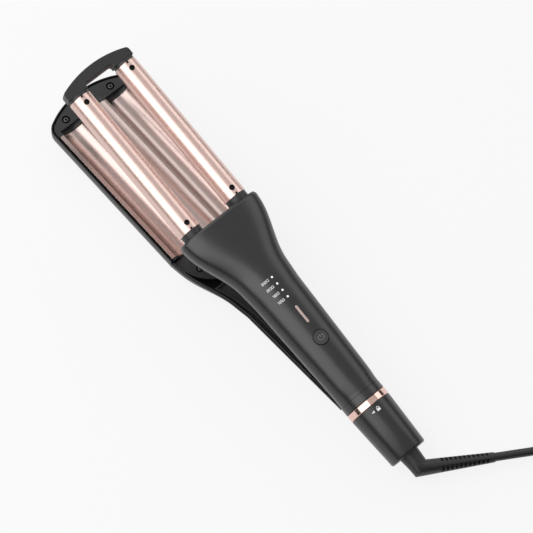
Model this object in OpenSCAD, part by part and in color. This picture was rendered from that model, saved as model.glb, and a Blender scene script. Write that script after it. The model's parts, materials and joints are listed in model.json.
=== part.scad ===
// Hair waver: two heated barrels on the handle close onto a wave-shaped plate on the lower arm.
// The handle frame has X towards the tip, Z up, and the tail's axis at y = 0, z = 0.
// in_handle() and in_lower() carry that frame into the frame of the part as it lies at rest.

/* [Barrels] */
// Outer diameter of each heated barrel
barrel_d = 17; // [15:0.5:18]
// Distance between the two barrel axes
barrel_pitch = 40.4; // [38:0.2:41]
// Length of the heated barrels and of the wave plate
barrel_len = 118.7; // [100:0.1:140]
// Wall of a barrel tube
barrel_wall = 1.2; // [0.8:0.1:1.6]
// Height of the barrel axes above the tail's axis
barrel_z = 6; // [5:0.25:7]
// Bare black collar between the head and a barrel
collar_len = 4.6; // [4:0.1:8]

/* [Upper shell] */
// Distance from the hinge axis to the front edge of the head
head_x = 151; // [140:1:165]
// How far the head reaches past the barrels on each side
head_margin = 4.8; // [3.8:0.1:5.2]
// Half width of the grip where the head starts to flare
grip_half_w = 19.1; // [17.8:0.1:20]
// Half width of the grip over the hinge
neck_half_w = 16; // [15.4:0.1:16.4]
// Where the flare of the head starts
flare_x = 87; // [78:1:92]
// Height of the head above the tail's axis
head_top = 18.8; // [18:0.1:21]
// Height of the grip over the hinge
neck_top = 15.6; // [15.2:0.1:15.8]
// Wall of the plastic shells
shell_wall = 2; // [1.6:0.1:2.2]
// Height of the parting line at the hinge
parting_rear_z = -5.2; // [-5.6:0.1:-4.8]
// Height of the parting line at the front of the head
parting_front_z = -1.6; // [-2:0.1:-1.2]
// Height of the grip's widest line at the hinge
side_rear_z = 2; // [1:0.1:3]
// Height of the head's widest line at its front
side_front_z = 5.6; // [4.6:0.1:6.4]

/* [Lower arm] */
// Angle that the lower arm hangs open at rest
arm_open = 11; // [9:0.5:14]
// Height of the hinge axis
hinge_z = -7; // [-7.4:0.1:-6.6]
// How far the frame around the wave plate reaches past the barrels on each side
frame_margin = 6.1; // [5.5:0.1:7.2]
// How far the lower arm reaches beyond the end of the wave plate
frame_tip = 19.1; // [17:0.1:22]
// Depth of the lower arm below the tail's axis
arm_depth = 15; // [14.8:0.1:16]
// Half width of the lower shell at the hinge
arm_rear_half_w = 17.1; // [16.6:0.1:17.6]
// Half width of the lower shell where its flare starts
arm_grip_half_w = 20.7; // [19.8:0.1:21.6]
// Gap between barrel and wave plate when the arms are closed
hair_gap = 2; // [1.5:0.1:2.4]
// Height of the plate's ridge above the barrel axes
ridge_rise = 4; // [2:0.25:5]

/* [Tip bridge] */
// How far the bridge reaches beyond the barrel plugs
bridge_reach = 11.9; // [9:0.1:13]
// Radius of the bridge's curved front
bridge_r = 77; // [60:1:90]
// Thickness of the bridge
bridge_t = 9.5; // [7:0.25:10]

/* [Tail] */
// Radius of the trim ring
ring_r = 16.15; // [15.8:0.05:16.4]
// Length of the trim ring
ring_len = 5; // [3:0.5:7]
// Length of the twist sleeve that locks the arms
sleeve_len = 40.2; // [34:0.5:46]
// Radius of the twist sleeve at its far end
sleeve_end_r = 14.2; // [13.6:0.1:14.6]
// Radius of the tail tube that the sleeve turns on
tube_r = 11; // [10.5:0.1:11.4]
// Radial clearance of the turning parts
turn_fit = 0.06; // [0.03:0.01:0.1]

/* [Controls] */
// Diameter of the power button
button_d = 10.6; // [8:0.2:12]
// Distance from the hinge axis to the power button
button_x = 43.5; // [40:0.5:48]
// Length of the indicator bar
bar_len = 14.3; // [10:0.1:16]
// Width of the indicator bar
bar_w = 1.8; // [1.2:0.1:2.4]
// Distance from the hinge axis to the indicator bar's middle
bar_x = 63.7; // [60:0.1:66]
// Distance from the hinge axis to the first temperature light
led_x = 79; // [77:0.5:82]
// Distance between the temperature lights
led_pitch = 5.6; // [5:0.1:6]
// Diameter of a temperature light
led_d = 2; // [1.4:0.1:2.4]

/* [Cord] */
// Diameter of the mains lead
cord_d = 6; // [6:0.1:6.4]
// Length of the bent boot behind the elbow
boot_len = 52.5; // [52:0.1:53]

/* [Hidden] */

satin_black = [0.09, 0.09, 0.09];
matt_black = [0.05, 0.05, 0.05];
deep_black = [0.03, 0.03, 0.03];
rose_gold = [0.85, 0.66, 0.6];
bare_steel = [0.62, 0.62, 0.64];
bare_brass = [0.8, 0.65, 0.3];
board_green = [0.1, 0.35, 0.2];
ceramic_white = [0.9, 0.88, 0.82];
lamp_white = [0.96, 0.96, 0.96];

round_fn = 64;
small_fn = 32;
seam = 0.1;
part_gap = 0.3;
slide_gap = 0.15;
sides = [-1, 1];

barrel_r = barrel_d / 2;
barrel_y = barrel_pitch / 2;
head_half_w = barrel_y + barrel_r + head_margin;
frame_half_w = barrel_y + barrel_r + frame_margin;
barrel_x0 = head_x + collar_len;
barrel_x1 = barrel_x0 + barrel_len;
bore_r = barrel_r - barrel_wall;
collar_r = barrel_r - 0.5;
spigot_r = bore_r - seam;
spigot_len = 12;
wire_r = 0.7;
wire_bore_r = 3.5;

// ---- Shapes of the two arms ----
// Of each flare: where it starts, how long it is, and how much of it widens evenly
head_flare = [0.22, 0.68, 0.42];
arm_flare_shape = [0.22, 0.654, 0.595];
head_power = 2.6;
arm_head_power = 4.2;
grip_power = 2;
function clamp01(t) = min(max(t, 0), 1);
function smooth(t) = let (c = clamp01(t)) c * c * (3 - 2 * c);
function flare(t, shape) =
  (1 - shape[2]) * smooth((t - shape[0]) / shape[1]) + shape[2] * clamp01(t);
function upper_flare(x) = flare((x - flare_x) / (head_x - flare_x), head_flare);
function upper_half_w(x) =
  neck_half_w + (grip_half_w - neck_half_w) * clamp01(x / flare_x)
  + (head_half_w - grip_half_w) * upper_flare(x);
crown_x = 90;
function upper_top(x) = neck_top + (head_top - neck_top) * pow(clamp01(x / crown_x), 0.8);
function upper_power(x) = grip_power + (head_power - grip_power) * upper_flare(x);
function parting_z(x) = parting_rear_z + (parting_front_z - parting_rear_z) * x / head_x;
parting_tilt = atan((parting_front_z - parting_rear_z) / head_x);
parting_gap = 0.6;
belly = 15.2;
// The widest line climbs from the round neck's axis to its own height behind the hinge.
side_climb = 14;
function side_z(x) = smooth((x - shell_x0) / side_climb)
  * (side_rear_z + (side_front_z - side_rear_z) * x / head_x);

arm_flare_x = 88.9;
arm_flare_end = head_x - 0.5;
function arm_flare(x) =
  flare((x - arm_flare_x) / (arm_flare_end - arm_flare_x), arm_flare_shape);
function arm_half_w(x) =
  arm_rear_half_w + (arm_grip_half_w - arm_rear_half_w) * clamp01(x / arm_flare_x)
  + (frame_half_w - arm_grip_half_w) * arm_flare(x);
function arm_power(x) = grip_power + (arm_head_power - grip_power) * arm_flare(x);

// One point of an oval: half width w, half height h, power n, angle t.
function signed_pow(v, e) = sign(v) * pow(abs(v), e);
function oval(w, h, n, t) = [w * signed_pow(cos(t), 2 / n), h * signed_pow(sin(t), 2 / n)];
// Angle at which the oval has dropped to depth d, and its half width there.
function oval_wrap(h, n, d) = asin(pow(clamp01(d / h), n / 2));
function oval_y(w, h, n, z) = w * pow(1 - pow(clamp01(abs(z) / h), n), 1 / n);

upper_steps = 24;
function upper_arc(x, inset) = let (
  w = upper_half_w(x) - inset,
  n = upper_power(x),
  z0 = side_z(x),
  wrap = oval_wrap(belly - inset, n, z0 - parting_z(x))
) [for (i = [0 : upper_steps]) let (
  t = -wrap + i * (180 + 2 * wrap) / upper_steps,
  h = t < 0 || t > 180 ? belly - inset : upper_top(x) - z0 - inset
) oval(w, h, n, t) + [0, z0]];
function arm_arc(x, inset) = let (
  w = arm_half_w(x) - inset,
  n = arm_power(x),
  wrap = oval_wrap(arm_depth - inset, n, parting_gap - parting_z(x))
) [for (i = [0 : upper_steps]) let (
  t = 180 + wrap + i * (180 - 2 * wrap) / upper_steps
) oval(w, arm_depth - inset, n, t)];
function upper_y(x, z, inset) =
  oval_y(upper_half_w(x) - inset, belly - inset, upper_power(x), z - side_z(x));
function arm_y(x, z, inset) =
  oval_y(arm_half_w(x) - inset, arm_depth - inset, arm_power(x), z);
function upper_z(x, y) = let (n = upper_power(x), z0 = side_z(x))
  z0 + (upper_top(x) - z0) * pow(1 - pow(abs(y) / upper_half_w(x), n), 1 / n);
function arm_z(x, y, inset) = let (n = arm_power(x))
  -(arm_depth - inset) * pow(1 - pow(abs(y) / (arm_half_w(x) - inset), n), 1 / n);

// Skins of rings that all have the same number of points.
function at_x(x, loop) = [for (p = loop) [x, p[0], p[1]]];
function at_z(z, loop) = [for (p = loop) [p[0], p[1], z]];
function wall_loop(outer, inner) = concat(outer, [for (i = [len(inner) - 1 : -1 : 0]) inner[i]]);
function skin_faces(rows, n) = [
  for (s = [0 : rows - 2]) for (i = [0 : n - 1]) let (
    a = s * n + i,
    b = s * n + (i + 1) % n
  ) each [[a, b, b + n], [a, b + n, a + n]]
];
function flat_caps(rows, n) = [
  [for (i = [n - 1 : -1 : 0]) i],
  [for (i = [0 : n - 1]) (rows - 1) * n + i]
];
function wall_caps(rows, n) = [
  for (i = [0 : n / 2 - 2]) each [
    [i + 1, i, n - 1 - i, n - 2 - i],
    [for (k = [i, i + 1, n - 2 - i, n - 1 - i]) (rows - 1) * n + k]
  ]
];
module skin(loops, hollow = false, flip = false) {
  n = len(loops[0]);
  rows = len(loops);
  faces = concat(skin_faces(rows, n), hollow ? wall_caps(rows, n) : flat_caps(rows, n));
  polyhedron(
    points = [for (l = loops) each l],
    faces = flip ? [for (f = faces) [for (i = [len(f) - 1 : -1 : 0]) f[i]]] : faces
  );
}

// Round bars, tubes and boxes in the handle frame.
module x_bar(r, x0, x1, y = 0, z = 0) {
  translate([x0, y, z]) rotate([0, 90, 0]) cylinder(r = r, h = x1 - x0, $fn = round_fn);
}
module x_tube(r_out, r_in, x0, x1, y = 0, z = 0) {
  difference() {
    x_bar(r_out, x0, x1, y, z);
    x_bar(r_in, x0 - 1, x1 + 1, y, z);
  }
}
module y_bar(r, y0, y1, x = 0, z = 0) {
  translate([x, y1, z]) rotate([90, 0, 0]) cylinder(r = r, h = y1 - y0, $fn = round_fn);
}
module z_bar(r, z0, z1, x = 0, y = 0) {
  translate([x, y, z0]) cylinder(r = r, h = z1 - z0, $fn = small_fn);
}
module box(x0, x1, y0, y1, z0, z1) {
  translate([x0, y0, z0]) cube([x1 - x0, y1 - y0, z1 - z0]);
}
module rod(p, q, r) {
  d = q - p;
  translate(p) rotate([0, acos(d[2] / norm(d)), atan2(d[1], d[0])])
    cylinder(r = r, h = norm(d), $fn = small_fn);
}
module both_sides() {
  for (s = sides) translate([0, s * barrel_y, 0]) children();
}

// ---- How the part lies at rest ----
ring_x1 = -8.7;
ring_x0 = ring_x1 - ring_len;
sleeve_x0 = ring_x0 - sleeve_len;
foot_x = barrel_x1 - 10;
foot_h = 1.5;
foot_r = 7;
function turned(p, a) = [p[0] * cos(a) + p[1] * sin(a), p[1] * cos(a) - p[0] * sin(a)];
sleeve_chamfer = 0.8;
tail_touch = [sleeve_x0 + sleeve_chamfer, -sleeve_end_r];
foot_open = turned([foot_x, -arm_depth - foot_h - hinge_z], arm_open) + [0, hinge_z];
rest_pitch = -atan2(foot_open[1] - tail_touch[1], foot_open[0] - tail_touch[0]);
tip_x = barrel_x1 + frame_tip;
rim_z = barrel_z - 5;
tube_x0 = sleeve_x0 + 3;
lip_r = 7;
hub_x0 = tube_x0 - 9;
hub_shaft_r = lip_r - turn_fit;
tip_rest = turned(
  turned([tip_x, rim_z - hinge_z], arm_open) + [0, hinge_z],
  -rest_pitch
);
tail_rest = turned([hub_x0, hub_shaft_r], -rest_pitch);
rest_shift = [
  -(tip_rest[0] + tail_rest[0]) / 2,
  0,
  -turned(tail_touch, -rest_pitch)[1]
];
module in_handle() {
  translate(rest_shift) rotate([0, -rest_pitch, 0]) children();
}
module in_lower() {
  in_handle() translate([0, 0, hinge_z]) rotate([0, arm_open, 0])
    translate([0, 0, -hinge_z]) children();
}

// ---- Upper arm: shell, cover and controls ----
neck_x0 = ring_x1 + seam;
neck_x1 = -2.8;
neck_r = 15.85;
shell_step = 5;
lip = 1.3;
lip_len = 2.4;
shell_x0 = -4;
boss_r = 2.6;
screw_r = 1.1;
screw_fit = 0.06;
screw_head_r = 2.2;
boss_spots = [[116, -15], [116, 15], [27, 0]];
cover_t = 1.6;
cover_lift = 0.5;
shell_xs = concat(
  [for (x = [shell_x0 : shell_step : head_x - lip_len - shell_step / 2]) x],
  [head_x - lip_len]
);
module upper_shell() {
  color(satin_black) in_handle() difference() {
    union() {
      skin(concat(
        [for (x = shell_xs) at_x(x, wall_loop(upper_arc(x, 0), upper_arc(x, shell_wall)))],
        [at_x(head_x, wall_loop(upper_arc(head_x, lip), upper_arc(head_x, shell_wall)))]
      ), hollow = true, flip = true);
      x_tube(neck_r, neck_r - shell_wall, neck_x0, neck_x1);
      for (p = boss_spots)
        z_bar(boss_r, parting_z(p[0]) + cover_lift + cover_t + seam,
          upper_z(p[0], abs(p[1]) + boss_r) - shell_wall / 2, p[0], p[1]);
    }
    z_bar(button_d / 2 + slide_gap, 0, head_top + 5, button_x);
    led_spots() z_bar(led_d / 2 + seam / 2, 0, head_top + 5);
    stadium(bar_w / 2 + seam / 2, bar_len + seam, 0, head_top + 5);
    for (p = boss_spots)
      z_bar(screw_r + screw_fit, parting_z(p[0]), parting_z(p[0]) + screw_len, p[0], p[1]);
  }
}
module led_spots() {
  for (i = [0 : 3]) translate([led_x + i * led_pitch, 0, 0]) children();
}
module stadium(r, length, z0, z1) {
  run = length / 2 - r;
  box(bar_x - run, bar_x + run, -r, r, z0, z1);
  for (s = sides) z_bar(r, z0, z1, bar_x + s * run);
}

cover_x0 = 6;
holder_len = 11.9;
holder_gap = 0.6;
holder_x1 = head_x - holder_gap;
holder_x0 = holder_x1 - holder_len;
cover_x1 = holder_x0 - part_gap;
screw_len = 11;
screw_head_t = 1.2;
function mirrored(half) = concat(
  half,
  [for (i = [len(half) - 1 : -1 : 0]) [half[i][0], -half[i][1]]]
);
function upper_outline(x0, x1, inset, n = 24) = mirrored([
  for (i = [0 : n]) let (x = x0 + i * (x1 - x0) / n) [x, -upper_y(x, parting_z(x), inset)]
]);
module on_parting(lift) {
  translate([0, 0, parting_rear_z + lift]) rotate([0, -parting_tilt, 0]) children();
}
module upper_inner_cover() {
  color(matt_black) in_handle() difference() {
    on_parting(cover_lift) linear_extrude(cover_t)
      polygon(upper_outline(cover_x0, cover_x1, shell_wall + seam));
    for (p = boss_spots)
      z_bar(screw_r + screw_fit, parting_z(p[0]) - 1, parting_z(p[0]) + 5, p[0], p[1]);
  }
}
module shell_screws() {
  color(bare_steel) in_handle() for (p = boss_spots) {
    seat = parting_z(p[0]) + cover_lift - seam - screw_head_r * tan(parting_tilt);
    z_bar(screw_r, seat - 0.1, seat + screw_len - 1, p[0], p[1]);
    z_bar(screw_head_r, seat - screw_head_t / 2, seat, p[0], p[1]);
  }
}

button_travel = 0.6;
button_proud = 0.35;
board_x0 = 34;
board_x1 = led_x + 3 * led_pitch + 10;
board_half_w = 9;
board_t = 1.6;
board_z = 6.5;
board_top = board_z + board_t;
switch_h = 3.4;
plunger_top = board_top + switch_h + 1.1;
button_crown = upper_top(button_x) + button_proud;
module power_button() {
  color(satin_black) in_handle() {
    intersection() {
      z_bar(button_d / 2, button_crown - 3, button_crown + 1, button_x);
      x_bar(button_crown, button_x - button_d, button_x + button_d);
    }
    z_bar(button_d / 4, plunger_top + button_travel + seam, button_crown - 2.5, button_x);
  }
}
module control_board() {
  color(board_green) in_handle()
    box(board_x0, board_x1, -board_half_w, board_half_w, board_z, board_top);
}
relay_len = 12;
relay_half_w = 5;
relay_h = 4;
can_len = 16;
can_r = 3.4;
chip_len = 12;
chip_half_w = 6;
chip_h = 5.9;
socket_len = 6;
socket_half_w = 2;
socket_h = 4;
part_edge = 2;
module board_components() {
  relay_x1 = board_x0 + part_edge + relay_len;
  can_x0 = relay_x1 + 3 * part_edge;
  socket_x1 = board_x1 - part_edge / 2;
  chip_x1 = socket_x1 - socket_len - 3;
  color(deep_black) in_handle() {
    box(relay_x1 - relay_len, relay_x1, -relay_half_w, relay_half_w, board_z - relay_h - seam,
      board_z - seam);
    x_bar(can_r, can_x0, can_x0 + can_len, 0, board_z - can_r - 2 * seam);
    box(chip_x1 - chip_len, chip_x1, -chip_half_w, chip_half_w, board_z - chip_h - seam,
      board_z - seam);
    for (s = sides)
      box(socket_x1 - socket_len, socket_x1, s * relay_half_w - socket_half_w,
        s * relay_half_w + socket_half_w, board_top + seam, board_top + socket_h);
  }
}
module tact_switch() {
  color(bare_steel) in_handle() {
    half = 3;
    box(button_x - half, button_x + half, -half, half, board_top + seam / 2,
      board_top + switch_h);
    z_bar(1.6, board_top + switch_h - 0.5, plunger_top, button_x);
  }
}
led_h = 1;
pipe_z0 = board_top + led_h + 2 * seam;
module indicator_leds() {
  color(lamp_white) in_handle() {
    led_spots() box(-0.8, 0.8, -0.6, 0.6, board_top + seam / 2, board_top + led_h);
    for (s = sides) translate([bar_x + s * bar_len / 4, 0, 0])
      box(-0.8, 0.8, -0.6, 0.6, board_top + seam / 2, board_top + led_h);
  }
}
module light_pipes() {
  color(lamp_white) in_handle() for (i = [0 : 3]) {
    x = led_x + i * led_pitch;
    z_bar(led_d / 2, pipe_z0, upper_top(x) + seam, x);
  }
}
module indicator_bar() {
  color(rose_gold) in_handle()
    stadium(bar_w / 2, bar_len, pipe_z0, upper_top(bar_x) + seam);
}

// ---- Upper arm: barrels and bridge ----
holder_spigot_r = 6.5;
module barrel_holder() {
  inset = shell_wall + seam;
  floor_z = parting_front_z + cover_lift;
  function holder_arc(x) = [for (p = upper_arc(x, inset)) [p[0], max(p[1], floor_z)]];
  color(matt_black) in_handle() difference() {
    skin([for (x = [holder_x0, (holder_x0 + holder_x1) / 2, holder_x1]) at_x(x, holder_arc(x))],
      flip = true);
    both_sides() x_bar(holder_spigot_r + seam / 2, holder_x0 - 1, holder_x1 + 1, 0, barrel_z);
  }
}
barrel_screw_rear_x = barrel_x0 + 5.7;
barrel_screw_tip_x = barrel_x1 - 5.8;
barrel_screw_head_r = 2;
notch_len = 1.6;
notch_w = 1.3;
module barrel_tube() {
  difference() {
    x_tube(barrel_r, bore_r, barrel_x0, barrel_x1, 0, barrel_z);
    for (x = [barrel_screw_rear_x, barrel_screw_tip_x])
      z_bar(screw_r + screw_fit, barrel_z, barrel_z + barrel_r + 1, x);
    for (x = [barrel_x0 - 1, barrel_x1 - notch_len])
      box(x, x + notch_len + 1, -notch_w / 2, notch_w / 2, barrel_z + bore_r - 1,
        barrel_z + barrel_r + 1);
  }
}
module barrel_left() {
  color(rose_gold) in_handle() translate([0, barrel_y, 0]) barrel_tube();
}
module barrel_right() {
  color(rose_gold) in_handle() translate([0, -barrel_y, 0]) barrel_tube();
}
module plug_pilot(x) {
  z_bar(screw_r + screw_fit, barrel_z + wire_bore_r - 1, barrel_z + barrel_r + 1, x);
}
module barrel_collars() {
  color(matt_black) in_handle() both_sides() difference() {
    union() {
      x_bar(collar_r, head_x + seam / 2, barrel_x0 - seam / 2, 0, barrel_z);
      x_bar(holder_spigot_r, holder_x0, head_x + 1, 0, barrel_z);
      x_bar(spigot_r, barrel_x0 - 1, barrel_x0 + spigot_len, 0, barrel_z);
    }
    x_bar(wire_bore_r, holder_x0 - 1, barrel_x0 + spigot_len + 1, 0, barrel_z);
    plug_pilot(barrel_screw_rear_x);
  }
}
plug_collar = 2;
module tip_plugs() {
  color(matt_black) in_handle() both_sides() difference() {
    union() {
      x_bar(collar_r, barrel_x1 + seam / 2, barrel_x1 + plug_collar, 0, barrel_z);
      x_bar(spigot_r, barrel_x1 - spigot_len, barrel_x1 + 1, 0, barrel_z);
    }
    x_bar(wire_bore_r, barrel_x1 - spigot_len - 1, barrel_x1 - 2, 0, barrel_z);
    plug_pilot(barrel_screw_tip_x);
  }
}
module barrel_screws() {
  color(deep_black) in_handle() both_sides()
    for (x = [barrel_screw_rear_x, barrel_screw_tip_x]) {
      z_bar(screw_r, barrel_z + wire_bore_r, barrel_z + barrel_r + 0.2, x);
      z_bar(barrel_screw_head_r, barrel_z + barrel_r + seam / 2, barrel_z + barrel_r + 0.7, x);
    }
}

// Plan of a rounded tip: straight sides, round corners and a shallow curved front.
tip_steps = 7;
function tip_centre_x(half_w, apex, front_r, corner_r) =
  apex - front_r + sqrt(pow(front_r - corner_r, 2) - pow(half_w - corner_r, 2));
function arc_points(cx, cy, r, a0, a1, n) = [
  for (i = [0 : n]) let (a = a0 + (a1 - a0) * i / n) [cx + r * cos(a), cy + r * sin(a)]
];
function tip_plan(rear_x, half_w, apex, front_r, corner_r, inset) = let (
  corner_x = tip_centre_x(half_w, apex, front_r, corner_r),
  corner_y = half_w - corner_r,
  turn = atan2(corner_y, corner_x - apex + front_r),
  r = corner_r - inset
) mirrored(concat(
  [[rear_x, inset - half_w]],
  arc_points(corner_x, -corner_y, max(r, 0.3), -90, -turn, tip_steps),
  arc_points(apex - front_r, 0, front_r - inset, -turn + 2, -2, tip_steps)
));
module from_x(x) {
  difference() {
    children();
    translate([x - 100, -100]) square([100, 200]);
  }
}
bridge_x0 = barrel_x1 + plug_collar + seam / 2;
bridge_apex = bridge_x0 + bridge_reach;
bridge_half_w = barrel_y + barrel_r;
bridge_corner_r = 3;
plan_back = 20;
window_x = bridge_x0 + 3.3;
window_half_w = barrel_y - barrel_r;
window_chamfer = 1;
module tip_bridge() {
  color(matt_black) in_handle() difference() {
    translate([0, 0, barrel_z - bridge_t / 2 + 0.25]) linear_extrude(bridge_t)
      difference() {
        from_x(bridge_x0) polygon(tip_plan(bridge_x0 - plan_back, bridge_half_w, bridge_apex, bridge_r,
          bridge_corner_r, 0));
        polygon([
          [bridge_x0 - 1, -window_half_w],
          [window_x - window_chamfer, -window_half_w],
          [window_x, window_chamfer - window_half_w],
          [window_x, window_half_w - window_chamfer],
          [window_x - window_chamfer, window_half_w],
          [bridge_x0 - 1, window_half_w]
        ]);
      }
  }
}

clamp_x0 = barrel_x0 + spigot_len + 4;
clamp_x1 = barrel_x1 - spigot_len - 4;
heater_half_w = 5;
heater_half_t = 2.1;
module heater_clamps() {
  color(bare_steel) in_handle() both_sides() difference() {
    x_bar(bore_r - seam, clamp_x0, clamp_x1, 0, barrel_z);
    box(clamp_x0 - 1, clamp_x1 + 1, -barrel_r, barrel_r, barrel_z - heater_half_t - seam,
      barrel_z + heater_half_t + seam);
  }
}
module barrel_heaters() {
  color(ceramic_white) in_handle() both_sides()
    box(clamp_x0 + 4, clamp_x1 - 4, -heater_half_w, heater_half_w, barrel_z - heater_half_t,
      barrel_z + heater_half_t);
}
module barrel_wires() {
  lead_x = board_x1 + 1;
  lead_y = 4;
  color(lamp_white) in_handle() for (s = sides) for (k = sides) {
    bend = [holder_x0 - 4, s * barrel_y + k * 1.2, barrel_z];
    rod(bend - [wire_r / 2, 0, 0], [clamp_x0 + 3.9, bend[1], barrel_z], wire_r);
    rod(bend, [lead_x, s * lead_y + k * 1.2, barrel_z - 1], wire_r);
  }
}

// ---- Hinge and tail ----
pin_r = 1.5;
knuckle_r = 3.4;
knuckle_half = 2.6;
ear_r = 3;
ear_y0 = 5.2;
ear_gap = 0.2;
ear_y1 = arm_y(0, hinge_z - ear_r, shell_wall) - ear_gap;
pin_half = ear_y1 + seam;
housing_face = -4.6;
tube_bore = tube_r - 1.8;
gate_len = 3;
wire_gate_r = 3.5;
ball_r = 1;
ball_x = ring_x0 - 14;
module hinge_housing() {
  color(matt_black) in_handle() difference() {
    union() {
      x_bar(neck_r - shell_wall - seam, neck_x0, housing_face);
      x_bar(tube_r, tube_x0, neck_x0 + 1);
      box(housing_face - 1, 0, -knuckle_half, knuckle_half, hinge_z - knuckle_r,
        hinge_z + knuckle_r);
      y_bar(knuckle_r, -knuckle_half, knuckle_half, 0, hinge_z);
      box(housing_face - 1, 14, -7, 7, 5, 8);
    }
    y_bar(pin_r + turn_fit / 2, -pin_half - 1, pin_half + 1, 0, hinge_z);
    x_bar(tube_bore, tube_x0 + gate_len, neck_x0);
    x_bar(lip_r, tube_x0 - 1, tube_x0 + gate_len + 1);
    x_bar(wire_gate_r, neck_x0 - 1, housing_face + 1, 0, 0.5);
    z_bar(ball_r + seam, tube_bore - 1, tube_r + 1, ball_x);
  }
}
module trim_ring() {
  color(rose_gold) in_handle()
    x_tube(ring_r, tube_r + seam / 2, ring_x0 + seam / 2, ring_x1 - seam / 2);
}
module lock_sleeve() {
  front = ring_x0 - part_gap / 2;
  wall_x = tube_x0 - part_gap;
  front_r = ring_r - 0.2;
  groove = ball_r + 0.4;
  bore = tube_r + turn_fit;
  color(satin_black) in_handle() rotate([0, 90, 0]) rotate_extrude($fn = round_fn) polygon([
    [bore, front],
    [front_r, front],
    [sleeve_end_r, sleeve_x0 + sleeve_chamfer],
    [sleeve_end_r - sleeve_chamfer, sleeve_x0],
    [stem_r + part_gap, sleeve_x0],
    [stem_r + part_gap, wall_x],
    [bore, wall_x],
    [bore, ball_x - groove],
    [bore + ball_r, ball_x - groove],
    [bore + ball_r, ball_x + groove],
    [bore, ball_x + groove]
  ]);
}
module detent_ball() {
  color(bare_steel) in_handle() translate([ball_x, 0, tube_r - ball_r / 2])
    sphere(r = ball_r, $fn = small_fn);
}
module hinge_pin() {
  color(bare_steel) in_handle() y_bar(pin_r, -pin_half, pin_half, 0, hinge_z);
}
spring_wire_r = 0.5;
spring_r = 2.9;
leg_gap = 0.15;
module hinge_spring() {
  color(bare_steel) in_handle() for (s = sides) {
    mid = s * (knuckle_half + ear_y0) / 2;
    half = (ear_y0 - knuckle_half) / 2 - part_gap;
    difference() {
      y_bar(spring_r, mid - half, mid + half, 0, hinge_z);
      y_bar(spring_r - 2 * spring_wire_r, mid - half - 1, mid + half + 1, 0, hinge_z);
    }
    rod([1, mid, hinge_z + spring_r - spring_wire_r],
      [cover_x0 - part_gap - spring_wire_r, mid, hinge_z + spring_r + spring_wire_r],
      spring_wire_r);
    rod([1, mid, hinge_z - pin_r - leg_gap - spring_wire_r / 2],
      [7, mid, hinge_z - leg_gap - spring_wire_r / 2], spring_wire_r);
  }
}

// ---- Lower arm ----
arm_x0 = -2.3;
arm_x1 = head_x + 1;
frame_x0 = arm_x1 + part_gap;
arm_xs = concat([for (x = [arm_x0 : shell_step : arm_x1 - shell_step / 2]) x], [arm_x1]);
// The rear end leans so that it stands square to the handle while the arm is open.
lean_len = 15;
function lean(x, z) = x - (z - hinge_z) * tan(arm_open) * (1 - smooth((x - arm_x0) / lean_len));
function leaned(x, loop) = [for (p = loop) [lean(x, p[1]), p[0], p[1]]];
module lower_shell() {
  color(satin_black) in_lower() skin(
    [for (x = arm_xs) leaned(x, wall_loop(arm_arc(x, 0), arm_arc(x, shell_wall)))],
    hollow = true, flip = true);
}
tray_x0 = 9;
tray_rim = 1.2;
tray_depth = 1.6;
tray_floor = 1;
tray_drop = 0.8;
tray_lift = parting_gap + tray_drop / 4;
function tray_outline(x0, x1, inset, n = 24) = mirrored([
  for (i = [0 : n]) let (
    x = x0 + i * (x1 - x0) / n,
    floor_z = parting_z(x) - tray_lift - tray_depth - tray_floor
  ) [x, -arm_y(x, floor_z, inset)]
]);
insulator_len = 31;
insulator_x0 = head_x - insulator_len;
tray_x1 = insulator_x0 - part_gap;
groove_w = 0.6;
module lower_inner_cover() {
  inset = shell_wall + groove_w;
  color(deep_black) in_lower() on_parting(-tray_lift - tray_depth - tray_floor) {
    linear_extrude(tray_floor) polygon(tray_outline(tray_x0, tray_x1, inset));
    linear_extrude(tray_floor + tray_depth) difference() {
      polygon(tray_outline(tray_x0, tray_x1, inset));
      polygon(tray_outline(tray_x0 + tray_rim, tray_x1 - tray_rim, inset + tray_rim));
    }
  }
}
bracket_x1 = 24;
bracket_drop = 1.9;
bracket_t = 1.2;
bracket_gap = 0.5;
bracket_z1 = hinge_z - bracket_drop;
bracket_z0 = bracket_z1 - bracket_t;
bracket_half_w = arm_y(0, bracket_z0, shell_wall) - bracket_gap;
module arm_bracket() {
  color(bare_steel) in_lower() difference() {
    union() {
      for (s = sides) {
        y0 = s > 0 ? ear_y0 : -ear_y1;
        y_bar(ear_r, y0, y0 + ear_y1 - ear_y0, 0, hinge_z);
      }
      for (s = sides) box(0, 2 * ear_r, min(s * ear_y0, s * bracket_half_w),
        max(s * ear_y0, s * bracket_half_w), bracket_z0 + ear_gap, hinge_z);
      box(ear_r + 0.6, bracket_x1, -bracket_half_w, bracket_half_w, bracket_z0, bracket_z1);
    }
    y_bar(pin_r + turn_fit, -ear_y1 - 1, ear_y1 + 1, 0, hinge_z);
  }
}
frame_wall = 1.4;
frame_front_r = 62;
frame_corner_r = 9.5;
frame_side_z = rim_z - 6;
frame_curl = 9;
frame_levels = 5;
pocket_deep = arm_depth - shell_wall;
pocket_inset = frame_curl - 0.5;
pocket_half_w = frame_half_w - pocket_inset;
function frame_plan(inset, rear = frame_x0) =
  tip_plan(rear, frame_half_w, tip_x, frame_front_r, frame_corner_r, inset);
function frame_level(i) = let (a = 90 * i / frame_levels) at_z(
  frame_side_z - (arm_depth + frame_side_z) * sin(a),
  frame_plan(frame_curl * (1 - cos(a)))
);
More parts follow.
